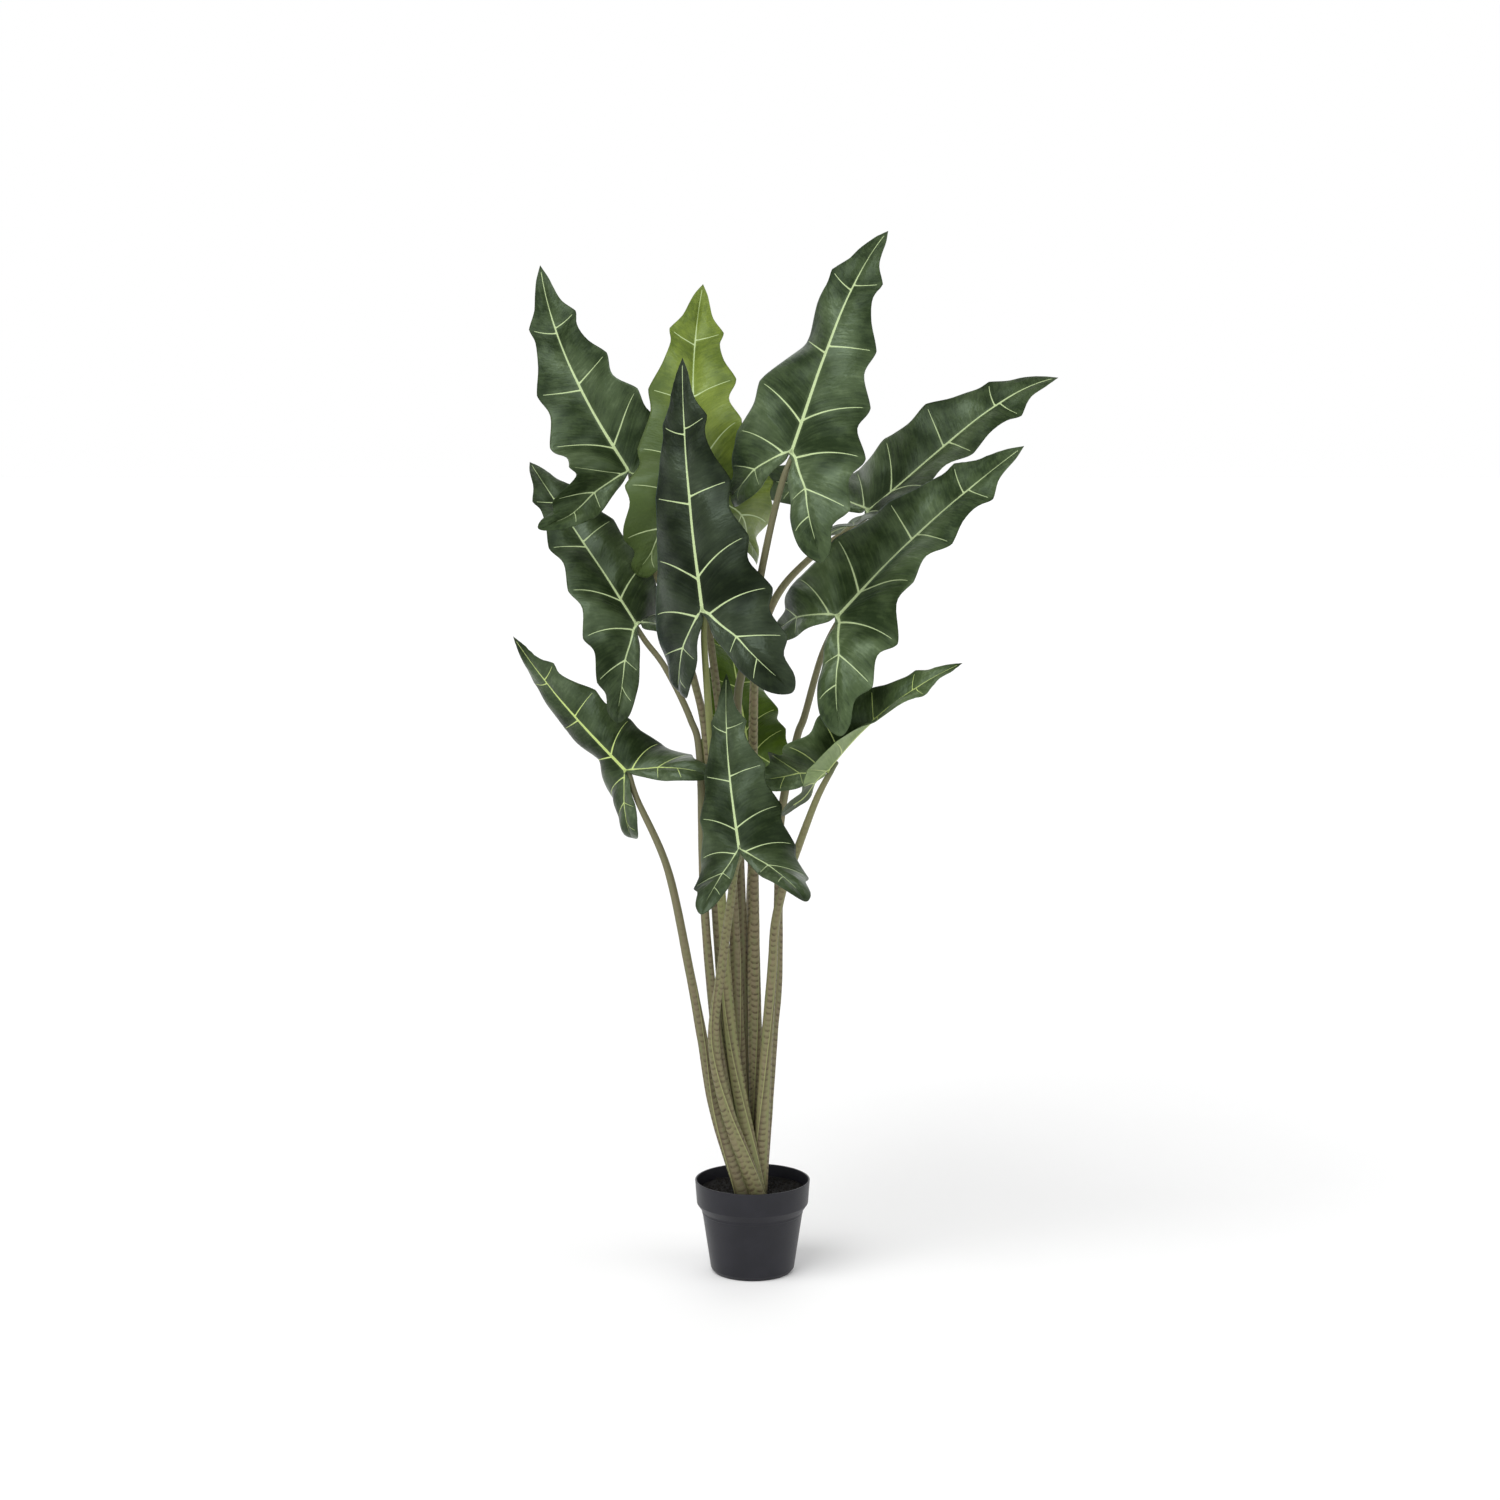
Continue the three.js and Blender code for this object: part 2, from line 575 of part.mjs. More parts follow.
function buildPlant() {
  const plant = new THREE.Group();
  let soil = toSolid(soilGeometry());
  for (const leaf of LEAVES) {
    plant.add(named(`leaf_${leaf.name}`, bladeGeometry(leaf), bladeFinish(leaf.name)));
    const stalk = toSolid(stalkGeometry(leaf)).subtract(toSolid(bladeGeometry(leaf, CLEARANCE)));
    plant.add(named(`petiole_${leaf.name}`, toGeometry(stalk), STALK_FINISH));
    soil = soil.subtract(toSolid(stalkGeometry(leaf, CLEARANCE)));
  }
  plant.add(named('soil', toGeometry(soil), SOIL_FINISH));
  plant.add(named('pot', potGeometry(), POT_FINISH));
  return plant;
}

export default buildPlant();
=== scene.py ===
"""Potted alocasia: the looks of its leaves, stalks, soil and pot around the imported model, in metres."""
from math import cos, pi, radians, sin

import bpy
import numpy as np
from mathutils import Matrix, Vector


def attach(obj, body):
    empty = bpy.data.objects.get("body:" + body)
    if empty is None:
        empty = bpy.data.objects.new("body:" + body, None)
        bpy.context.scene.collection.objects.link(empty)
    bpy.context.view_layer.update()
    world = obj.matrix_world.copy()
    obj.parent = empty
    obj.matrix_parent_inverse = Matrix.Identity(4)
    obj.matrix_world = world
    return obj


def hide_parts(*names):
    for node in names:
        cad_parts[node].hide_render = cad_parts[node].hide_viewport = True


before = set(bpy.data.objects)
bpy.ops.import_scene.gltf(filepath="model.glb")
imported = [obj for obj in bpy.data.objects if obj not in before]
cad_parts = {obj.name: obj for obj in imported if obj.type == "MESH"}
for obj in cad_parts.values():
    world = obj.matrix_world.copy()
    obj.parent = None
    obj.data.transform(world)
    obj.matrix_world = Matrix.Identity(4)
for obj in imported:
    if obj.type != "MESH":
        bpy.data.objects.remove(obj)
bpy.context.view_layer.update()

# Camera: at the front, a little above the middle of the plant, looking slightly down.
CAMERA_PLACE = (-0.0036, -4.1, 1.3)
CAMERA_PITCH = 7.5
CAMERA_LENS = 70
CAMERA_SENSOR = 36

# Floor: half its width, and how far it lies below the pot.
FLOOR_REACH = 30
FLOOR_DROP = 0.0002

# Surround: brightness of the ceiling, and how far up a direction points where white ends and it begins.
CEILING = 0.35
WHITE_UP_TO = 0.14
CEILING_FROM = 0.5

# Lights: the place each one shines from, its strength, and how wide it is in degrees.
LIGHTS = {
    "key": ((-2.2, -2.4, 4.0), 1.9, 50),
    "fill": ((3.0, -1.6, 2.4), 0.7, 60),
    "front": ((-0.4, -4.0, 0.5), 0.45, 60),
    "back": ((0.5, 3.0, 2.6), 0.5, 60),
}

# Pot
POT_HEIGHT = 0.135
RIM_RADIUS = 0.083
RIM_TAPER = 0.0002
RIM_EDGE = 0.0022
COLLAR_RADIUS = 0.0805
COLLAR_HEIGHT = 0.101
STEP_RADIUS = 0.073
STEP_HEIGHT = 0.090
STEP_RISE = 0.0006
STEP_FOOT = 0.004
STEP_EDGE = 0.0035
BASE_RADIUS = 0.060
BASE_FLARE = 0.0004
BASE_CORNER = 0.0035
BASE_CORNER_HEIGHT = 0.0055
POT_WALL = 0.0025
FLOOR_THICKNESS = 0.003
# Recess under the pot, and the disc at the middle of its underside and floor.
RECESS_RADIUS = 0.030
RECESS_EDGE_RADIUS = 0.0315
RECESS_DEPTH = 0.0012
DISC_RADIUS = 0.004
POT_SIDES = 160
POT_ROUNDING = 0.0012
POT_ROUNDING_STEPS = 4

# Soil
SOIL_HEIGHT = 0.118
SOIL_LUMP = 0.0012
SOIL_RIPPLES = (0.0005, 0.0004)
SOIL_GAP = 0.0004
SOIL_SIDES = 96
SOIL_RINGS = 30
# Share of the radius over which the lumps fade at the wall.
SOIL_FADE = 0.12
CRUMB_COUNT = 1400
CRUMB_SEED = 7
CRUMB_REACH = 0.074
CRUMB_SIZE = 0.0006
CRUMB_SIZE_RANGE = 0.0016

# Stalks
STALK_SIDES = 24
STALK_RINGS = 150
STALK_TIP_RINGS = 10
STALK_DEPTH = 0.040
FOOT_TAPER = 0.97
FOOT_HALF_WIDTH = 0.011
FOOT_HALF_THICKNESS = 0.006
STEM_RADIUS = 0.0062
NECK_RADIUS = 0.004
TIP_RADIUS = 0.0028
TIP_REACH = 0.014
STALK_GAP = 0.0014
TIP_GAP = 0.0018
NECK_EASE = 1.3
# The end rounds off over TIP_ROUNDING points of the line, and would close TIP_BEYOND past its end.
TIP_ROUNDING = 0.15
TIP_BEYOND = 0.02

# Blades
EDGE_THICKNESS = 0.0006
BLADE_THICKNESS = 0.0009
PILLOW = 0.016
RUFFLE = 0.009
FULL_LENGTH = 0.358
FACE_RIB_RISE = 0.0008
BACK_RIB_RISE = 0.0022
# How far a rib's ridge reaches, in half widths of the rib.
RIDGE_REACH = 1.25
COLUMNS = 30
INNER_COLUMNS = 20
ROWS_PER_RIB = 18
# How strongly the columns gather at the spine and the rows at the ribs, and the share of the way to
# the edge where the grain reads how far along the blade a row is.
COLUMN_POWER = 1.45
ROW_CLUSTERING = 0.62
GRAIN_COLUMN = 0.4

# Folds pinched beside the midrib: their height in metres, then in blade lengths their pitch, how far
# out they are tallest and where they begin, and their slant towards the tip.
PUCKER_RISE = 0.0007
PUCKER_PITCH = 0.034
PUCKER_REACH = 0.045
PUCKER_START = -0.02
PUCKER_SLANT = 0.55

# Small points of the margin where side ribs end: how far they stand out, and their half width in rows.
EDGE_POINT = 0.006
EDGE_POINT_WIDTH = 0.3

# Colours
VEIN = (0.49, 0.60, 0.31)
FRESH_VEIN = (0.52, 0.64, 0.21)
FRESH_VEINED = ("08", "10", "11")
# Dark, middle and light green of the leaf faces: most leaves, the young leaf, the fresh leaf.
DARK_GREENS = (0.011, 0.020, 0.0055), (0.038, 0.058, 0.021), (0.095, 0.130, 0.062)
YOUNG_GREENS = (0.085, 0.125, 0.020), (0.16, 0.215, 0.032), (0.25, 0.32, 0.06)
FRESH_GREENS = (0.034, 0.062, 0.004), (0.060, 0.105, 0.007), (0.10, 0.16, 0.018)
# Dark and light green and ribs of the undersides: most leaves, the young leaf, the tenth leaf.
BACK_COLOURS = (0.045, 0.068, 0.026), (0.085, 0.12, 0.05), (0.34, 0.42, 0.19)
YOUNG_BACK_COLOURS = (0.10, 0.14, 0.022), (0.16, 0.21, 0.04), (0.36, 0.44, 0.14)
PALE_BACK_COLOURS = (0.13, 0.19, 0.065), (0.20, 0.275, 0.10), (0.42, 0.50, 0.20)
# Green of the tenth leaf's lobes from below, between which places it fades in metres ahead of the
# joint, and green of the painted shade on the lower left of a leaf that faces away from the light.
LOBE_GREEN = (0.035, 0.050, 0.022)
LOBE_FADE = (-0.038, -0.028)
PAINTED_SHADE_GREEN = (0.055, 0.085, 0.026)
GLOSS_TINT = (0.80, 1.0, 0.86, 1.0)
BLOOM_TINT = (0.62, 0.84, 0.96, 1.0)
# For each leaf: how light its greens are, partly its own tone and partly painted light and shade, the
# strength of its bluish sheen, and how strongly its lower left takes painted shade.
LEAF_LOOKS = {
    "01": (1.2, 0.01), "02": (1.0, 0.0, 0.9), "03": (0.42, 0.07), "04": (1.0, 0.0),
    "05": (1.25, 0.07), "06": (1.2, 0.0), "07": (1.45, 0.08), "08": (1.0, 0.0),
    "09": (0.85, 0.02), "10": (1.6, 0.0), "11": (1.0, 0.0),
}
STALK_OLIVE = (0.180, 0.168, 0.076)
STALK_BROWN = (0.190, 0.150, 0.092)
STALK_GREEN = (0.160, 0.178, 0.072)
STALK_FRESH = (0.185, 0.215, 0.060)
STALK_TOP = (0.160, 0.155, 0.078)
STALK_MARK = (0.058, 0.038, 0.019)
STALK_SEAM = (0.26, 0.27, 0.11)
STALK_FOOT = (0.02, 0.017, 0.012)
JOINT_COLOUR = (0.10, 0.13, 0.06)
# Columns of arcs around a stalk, and the height of one arc.
STALK_COLUMNS = 4
STALK_PITCH = 0.009
# Radians that the seam turns around a stalk for each metre of height, the height where it faces the
# front, and the heights between which it fades.
SEAM_TURN = 7.0
SEAM_FRONT_HEIGHT = 0.3
SEAM_FADE = (0.42, 0.6)
# Heights between which the yellow-green sets in, the height above the soil over which a stalk
# darkens towards the soil, and the distances from the blade between which the joint's colour fades.
FRESH_FROM = (0.4, 0.65)
FOOT_DARK_HEIGHT = 0.02
JOINT_FADE = (0.012, 0.04)
# For each stalk: how much of a column its arcs cross, the height where they begin to fade, how light
# it is, partly its own tone and partly painted light against the shade the stalks cast on each other,
# and how yellow-green.
STALK_LOOKS = {
    "01": (0.75, 0.75, 0.95), "02": (0.7, 0.8, 0.95), "03": (0.6, 0.45, 0.95, 0.8),
    "04": (0.5, 0.45, 0.85), "05": (0.65, 0.6, 0.8), "06": (0.95, 0.8, 1.25),
    "07": (0.75, 0.5, 1.0), "08": (0.7, 0.35, 0.85), "09": (0.85, 0.55, 0.95, 0.4),
    "10": (0.65, 0.5, 1.05, 0.2), "11": (0.6, 0.5, 1.0),
}
# Dark and light colour: pot, soil, crumbs, floor.
POT_COLOURS = (0.0075, 0.0075, 0.0115), (0.0105, 0.0105, 0.0155)
PEAT_COLOURS = (0.006, 0.006, 0.006), (0.018, 0.016, 0.014)
CRUMB_COLOURS = (0.008, 0.007, 0.006), (0.03, 0.024, 0.018)
FLOOR_COLOURS = (0.93, 0.93, 0.93), (0.95, 0.95, 0.95)
POT_DUST = (0.04, 0.038, 0.036)
DUST_HEIGHT = 0.03
SOIL_SPECK = (0.03, 0.027, 0.024)

# Half of a flat blade, in blade lengths: x across, y from the stalk's joint to the tip.
# The spine runs down the midrib and out along the rib of the rear lobe.
SPINE = [
    (0, 1), (0, 0.935), (0, 0.87), (0, 0.8), (0, 0.715), (0, 0.64), (0, 0.55), (0, 0.44), (0, 0.3),
    (0, 0.12), (0, 0), (0.03, -0.03), (0.08, -0.078), (0.14, -0.13), (0.185, -0.185), (0.25, -0.262),
    (0.31, -0.33),
]
# The edge has a point for each spine point, then runs round the lobe's tip back to the joint.
EDGE = [
    (0, 1), (0.028, 0.94), (0.046, 0.88), (0.064, 0.82), (0.104, 0.752), (0.102, 0.68), (0.128, 0.585),
    (0.176, 0.48), (0.172, 0.365), (0.23, 0.243), (0.222, 0.14), (0.288, 0.035), (0.272, -0.05),
    (0.33, -0.152), (0.318, -0.225), (0.352, -0.31), (0.335, -0.372), (0.245, -0.355), (0.15, -0.268),
    (0.1, -0.2), (0.048, -0.12), (0.016, -0.055), (0, -0.02),
]
JOINT_INDEX = 10
LOBE_INDEX = 16
LOBE_RIB_END = 15.5
MIDRIB_END = 0.4
# Spine points where a side rib leaves for the edge, the tip and the lobe's end included.
RIB_ROWS = (0, 4, 7, 9, 11, 13, 16)
# Ribs on the inner side of the lobe.
INNER_RIB_ROWS = (10, 13, 14.5, 16)
# How far each side rib bows towards the tip at its middle.
RIB_BOW = (0, -0.008, 0, 0.017, 0.017, 0.004, 0)
# Side ribs of the left half start this much nearer the joint.
LEFT_SHIFT = 0.03
# Half widths of the ribs at the root and at the end, in metres, on a blade of full length.
MIDRIB_WIDTHS = (0.0029, 0.0006)
LOBE_RIB_WIDTHS = (0.0024, 0.0006)
INNER_RIB_WIDTHS = (0.0009, 0.00035)
SIDE_RIB_END_WIDTH = 0.00035
# Side ribs as (row, share of the way to the edge, half width at the root), and inner ribs.
SIDE_RIBS = ((4, 0.84, 0.0011), (7, 0.88, 0.0014), (9, 0.9, 0.0016), (11, 0.9, 0.0016), (13, 0.86, 0.0012))
INNER_RIBS = ((13, 0.8), (14.5, 0.8))
# Where along the blade each of the five fold angles holds.
FOLD_AT = (-0.25, 0.03, 0.24, 0.48, 0.75)
# How far from the midrib the arch angle holds, and behind the joint the lobe's turn.
ARCH_REACH = 0.3
LOBE_REACH = 0.35
# Radians off the tip's direction from which a lobe's spread eases in, over as much again.
SPREAD_HEADING = 1.2

# Leaves. at: where stalk and blade meet. spin, lean and roll turn the blade, tip up and face to the
# front when all are zero. bend and curl roll the midrib forward, sway bends it sideways. Each half has
# in turn its folds towards the face, the rear turn and the spread of its lobe, and its breadth.
# The stalk leaves the soil at foot, is a flat sheath up to a height, and follows the route.
LEAVES = [
    dict(name="01", length=0.359, at=(-0.179, 0.1, 1.152), spin=-33, lean=-25, roll=-6,
         arch=28, bend=-7, curl=8, sway=23, foot=(-0.013, -0.008), sheath=0.64,
         left=((12, 45, 9, 4, 8), -32, 29, 0.94), right=((-25, -18, 8, 7, -1), 60, -18, 0.94),
         route=[(-0.035, -0.008, 0.327), (-0.052, 0.002, 0.529), (-0.065, 0.024, 0.757),
                (-0.082, 0.042, 0.849), (-0.115, 0.072, 0.947), (-0.147, 0.094, 1.025),
                (-0.17, 0.104, 1.104)]),
    dict(name="02", length=0.358, at=(-0.077, 0.02, 1.119), spin=-5, lean=-26, roll=-10,
         arch=-27, bend=-20, curl=8, sway=11, foot=(-0.013, 0.006), sheath=0.7,
         left=((-12, 38, 13, 24, 34), 41, 8, 0.99), right=((-52, -1, 40, 22, 4), 15, 24, 1.04),
         route=[(-0.02, 0.005, 0.324), (-0.027, 0.001, 0.53), (-0.036, 0.006, 0.716),
                (-0.049, 0.012, 0.83), (-0.06, 0.018, 0.915), (-0.076, 0.024, 1.028)]),
    dict(name="03", length=0.354, at=(-0.069, -0.11, 0.972), spin=-8, lean=-15, roll=-27,
         arch=-42, bend=-7, curl=5, sway=7, foot=(0.009, -0.029), sheath=0.64,
         left=((-5, 0, -3, 1, 2), 34, -3, 1.03), right=((8, 2, 10, 4, 15), 9, -5, 0.97),
         route=[(-0.028, -0.023, 0.331), (-0.043, -0.022, 0.534), (-0.053, -0.022, 0.706),
                (-0.06, -0.036, 0.8), (-0.064, -0.06, 0.866), (-0.067, -0.086, 0.925)]),
    dict(name="04", length=0.347, at=(-0.168, 0.05, 0.937), spin=-33, lean=-22, roll=22,
         arch=-43, bend=-30, curl=-2, sway=10, foot=(-0.013, -0.022), sheath=0.52,
         left=((-11, 17, 24, 14, 9), 22, 3, 0.77), right=((-34, -30, 5, 19, 17), 10, 38, 0.92),
         route=[(-0.048, -0.02, 0.33), (-0.068, -0.012, 0.532), (-0.075, 0.022, 0.743),
                (-0.089, 0.032, 0.802), (-0.124, 0.045, 0.872), (-0.152, 0.052, 0.909)]),
    dict(name="05", length=0.341, at=(0.055, -0.112, 1.188), spin=18.5, lean=-12, roll=-31,
         arch=-30, bend=0, curl=-30, sway=5, foot=(-0.012, 0.02), sheath=0.76,
         left=((-8, 7, 14, -21, 20), 36, 7, 1.06), right=((24, 12, 0, -5, 8), 6, -9, 1.07),
         route=[(-0.011, 0.028, 0.319), (-0.017, 0.024, 0.525), (-0.022, -0.004, 0.804),
                (-0.011, -0.03, 0.891), (0.006, -0.07, 0.986), (0.024, -0.106, 1.078),
                (0.041, -0.12, 1.146)]),
    dict(name="06", length=0.336, at=(0.172, 0.14, 1.094), spin=50.5, lean=2, roll=-62,
         arch=-7, bend=8, curl=-52, sway=-20, foot=(0.009, 0.013), sheath=0.9,
         left=((34, 2, 16, 32, 26), 21, 16, 1.24), right=((40, 25, 17, 3, -25), -6, 13, 1.01),
         route=[(0.004, 0.013, 0.323), (0.001, 0.029, 0.524), (0.002, 0.062, 0.839),
                (0.015, 0.075, 0.924), (0.04, 0.09, 0.98), (0.083, 0.108, 1.025), (0.134, 0.128, 1.062)]),
    dict(name="07", length=0.36, at=(0.122, -0.062, 0.958), spin=42.5, lean=-13, roll=-38,
         arch=-37, bend=-16, curl=11, sway=10, foot=(0.01, -0.001), sheath=0.62,
         left=((-7, 7, 17, 17, 25), 46, 9, 1.14), right=((24, 19, 41, 28, 10), 25, -1, 0.97),
         route=[(0.027, 0.001, 0.34), (0.035, 0.004, 0.427), (0.037, 0.008, 0.543), (0.04, 0.015, 0.658),
                (0.062, 0.012, 0.772), (0.074, 0, 0.81), (0.097, -0.03, 0.898)]),
    dict(name="08", length=0.258, at=(-0.183, 0.03, 0.728), spin=-47.5, lean=-29, roll=-8,
         arch=-56, bend=7, curl=27, sway=21.5, foot=(-0.013, -0.036), sheath=0.48,
         left=((4, -12, -34, -24, -25), 39, 8, 0.99), right=((9, -20, -16, 4, 26), -12, -1, 1.03),
         route=[(-0.052, -0.038, 0.247), (-0.071, -0.036, 0.349), (-0.09, -0.02, 0.447),
                (-0.121, 0.008, 0.587), (-0.165, 0.03, 0.685)]),
    dict(name="09", length=0.247, at=(-0.019, -0.15, 0.645), spin=-9, lean=-38, roll=-9,
         arch=-39, bend=16, curl=34, sway=22, foot=(0.009, -0.043), sheath=0.52,
         left=((28, -3, 5, -2, -4), -12, -9, 0.9), right=((5, -9, 1, 17, 27), -36, -5, 1.17),
         route=[(-0.036, -0.05, 0.25), (-0.055, -0.06, 0.354), (-0.044, -0.076, 0.458),
                (-0.032, -0.098, 0.548), (-0.024, -0.125, 0.609)]),
    dict(name="10", length=0.244, at=(0.108, -0.065, 0.743), spin=33, lean=26, roll=-49,
         arch=24, bend=-38, curl=1, sway=8, foot=(0.01, -0.015), sheath=0.56,
         left=((14, 59, 54, -10, -10), -18, -13, 1.08), right=((40, 60, 62, 45, 22), 14, 33, 0.93),
         route=[(0.019, -0.021, 0.316), (0.028, -0.03, 0.449), (0.032, -0.035, 0.515),
                (0.045, -0.042, 0.577), (0.06, -0.047, 0.617), (0.089, -0.058, 0.697)]),
    dict(name="11", length=0.255, at=(-0.005, 0.13, 0.743), spin=-10, lean=-30, roll=10,
         arch=-14, bend=-22, curl=-4, sway=3, foot=(0, 0.034), sheath=0.45,
         left=((-25, 16, 20, 21, 17), 65, -16, 1.04), right=((-20, 45, 9, -14, 5), 70, 8, 0.88),
         route=[(-0.008, 0.046, 0.314), (-0.004, 0.075, 0.516), (-0.001, 0.095, 0.601),
                (-0.002, 0.118, 0.686)]),
]


def spline(points, at):
    """Smooth curve through the points, even steps from 0 to the last index."""
    points = np.asarray(points, float)
    last = len(points) - 1
    at = np.asarray(at, float)
    i = np.clip(at.astype(int), 0, last - 1)
    t = (at - i)[..., None]
    padded = np.vstack([2 * points[0] - points[1], points, 2 * points[-1] - points[-2]])
    a, b, c, d = (padded[i + k] for k in range(4))
    return 0.5 * (2 * b + (c - a) * t + (2 * a - 5 * b + 4 * c - d) * t ** 2
                  + (3 * b - a - 3 * c + d) * t ** 3)


def smooth_step(t):
    s = np.clip(t, 0, 1)
    return s * s * (3 - 2 * s)


def blend(at, places, values):
    """Value that passes smoothly through the given values at the given places."""
    out = np.full(np.shape(at), float(values[0]))
    for k in range(1, len(places)):
        t = smooth_step((at - places[k - 1]) / (places[k] - places[k - 1]))
        out = out + t * (values[k] - values[k - 1])
    return out


def place_blade(leaf, points):
    """Turns points of the unbent blade (right, towards the tip, out of the face) into place."""
    x, y, z = np.moveaxis(np.asarray(points, float), -1, 0)
    roll, lean, spin = (radians(leaf[key]) for key in ("roll", "lean", "spin"))
    x, z = x * cos(roll) + z * sin(roll), z * cos(roll) - x * sin(roll)
    y, z = y * cos(lean) - z * sin(lean), y * sin(lean) + z * cos(lean)
    x, y = x * cos(spin) + y * sin(spin), y * cos(spin) - x * sin(spin)
    return np.stack([x, -z, y], -1) + np.array(leaf["at"])


def blade_point(leaf, side, x, y, rise):
    """Folds, arches and bends points of the flat blade. rise stands out of the face."""
    folds, lobe_turn, lobe_spread, breadth = leaf["right"] if side > 0 else leaf["left"]
    fold = np.radians(blend(y, FOLD_AT, folds))
    reach = np.hypot(x, y)
    heading = np.arctan2(x, y)
    spread = smooth_step((heading - SPREAD_HEADING) / SPREAD_HEADING)
    heading = heading - radians(lobe_spread) * spread
    across = reach * np.sin(heading) * breadth
    along = reach * np.cos(heading)
    arch = radians(leaf["arch"]) * across / ARCH_REACH
    sideways = side * (across * np.cos(fold + arch / 2) - rise * np.sin(fold + arch))
    up = across * np.sin(fold + arch / 2) + rise * np.cos(fold + arch)
    ahead = np.maximum(along, 0)
    behind = np.minimum(along, 0)
    bend, curl, lobe = radians(leaf["bend"]), radians(leaf["curl"]), radians(lobe_turn) / LOBE_REACH
    turn = bend * ahead + curl * ahead ** 3 - lobe * behind
    mean_turn = bend * ahead / 2 + curl * ahead ** 3 / 4 - lobe * behind / 2
    length = along * np.cos(mean_turn) - up * np.sin(turn)
    out = along * np.sin(mean_turn) + up * np.cos(turn)
    sway = radians(leaf["sway"]) * ahead ** 2
    bent = [sideways * np.cos(sway) + length * np.sin(sway / 3),
            length * np.cos(sway / 3) - sideways * np.sin(sway), out]
    return place_blade(leaf, leaf["length"] * np.stack(bent, -1))


def flat_point(row, u, inner, side):
    """Point of the flat half blade on a row, from the spine at u = 0 to the edge at u = 1."""
    row, u = np.broadcast_arrays(np.asarray(row, float), np.asarray(u, float))
    spine = spline(SPINE, np.minimum(row, LOBE_RIB_END))
    spine[..., 0] *= row > JOINT_INDEX
    if side < 0:
        spine[..., 1] -= LEFT_SHIFT * np.sin(pi * np.clip(spine[..., 1], 0, 1))
    edge = spline(EDGE, 2 * LOBE_INDEX - row if inner else row)
    if not inner:
        ribs = np.array(RIB_ROWS[1:-1])
        nearest = np.abs(row[..., None] - ribs).min(-1)
        edge[..., 0] += EDGE_POINT * np.exp(-(nearest / EDGE_POINT_WIDTH))
    flat = spine * (1 - u)[..., None] + edge * u[..., None]
    if not inner:
        flat[..., 1] += np.interp(row, RIB_ROWS, RIB_BOW) * 4 * u * (1 - u)
    return flat[..., 0], flat[..., 1]


def between_ribs(row):
    """How far between two side ribs a row lies, from 0 at one rib to 1 at the next."""
    k = np.clip(np.searchsorted(RIB_ROWS, row), 1, len(RIB_ROWS) - 1)
    low, high = np.take(RIB_ROWS, k - 1), np.take(RIB_ROWS, k)
    return (row - low) / (high - low)


def blade_rise(row, u):
    """Pillows between the ribs and an edge that rises between them."""
    phase = between_ribs(row)
    pillow = PILLOW * np.sin(pi * phase) * np.sin(pi * u)
    return smooth_step(row / 4) * (pillow - RUFFLE * u * u * np.cos(2 * pi * phase))


def ribs_of_half(side):
    """Each rib of one half as (points in blade lengths, half width at its root, half width at its end)."""
    line = lambda row, u, inner=False: np.stack(flat_point(row, u, inner, side), -1)
    ribs = [
        (line(np.linspace(JOINT_INDEX, MIDRIB_END, 60), 0), *MIDRIB_WIDTHS),
        (line(np.linspace(JOINT_INDEX, LOBE_RIB_END, 40), 0), *LOBE_RIB_WIDTHS),
    ]
    for row, share, root in SIDE_RIBS:
        ribs.append((line(row, np.linspace(0, share, 24)), root, SIDE_RIB_END_WIDTH))
    for row, share in INNER_RIBS:
        ribs.append((line(row, np.linspace(0, share, 16), True), *INNER_RIB_WIDTHS))
    return ribs


def rib_distance(leaf, side, x, y):
    """Distance to the nearest rib over its half width, and how stout that rib is there."""
    nearest = np.full(x.shape, np.inf)
    stout = np.zeros(x.shape)
    size = leaf["length"]
    scale = size / FULL_LENGTH
    for line, root, end in ribs_of_half(side):
        for k in range(len(line) - 1):
            a, b = line[k], line[k + 1]
            d = b - a
            t = ((x - a[0]) * d[0] + (y - a[1]) * d[1]) / max(d @ d, 1e-12)
            t = np.clip(t, 0, 1)
            gap = np.hypot(x - a[0] - t * d[0], y - a[1] - t * d[1]) * size
            along = (k + t) / (len(line) - 1)
            width = (root + (end - root) * along ** 0.8) * scale
            closer = gap / width < nearest
            nearest = np.where(closer, gap / width, nearest)
            stout = np.where(closer, width / MIDRIB_WIDTHS[0], stout)
    return nearest, stout


def clustered(low, high, count):
    """Even steps from low to high, drawn towards both ends."""
    t = np.linspace(0, 1, count + 1)
    return low + (high - low) * (t - ROW_CLUSTERING * np.sin(2 * pi * t) / (2 * pi))


def strip_rows(marks):
    """Rows from the first mark to the last, close together at each mark."""
    rows = [clustered(a, b, ROWS_PER_RIB)[:-1] for a, b in zip(marks, marks[1:])]
    return np.append(np.concatenate(rows), marks[-1])


def pucker(leaf, side, x, y):
    """Short pinched folds that run out from the midrib and fade."""
    phase = 2.1 * side + 1.7 * int(leaf["name"])
    out = x / PUCKER_REACH
    drift = 2.5 * np.sin(21 * y + phase)
    wave = np.sin(2 * pi * (y - PUCKER_SLANT * x) / PUCKER_PITCH + phase + drift)
    patch = 0.5 + 0.5 * np.sin(9 * y + 2 * phase)
    return wave * patch * out ** 2 * np.exp(2 - 2 * out) * (y > PUCKER_START)


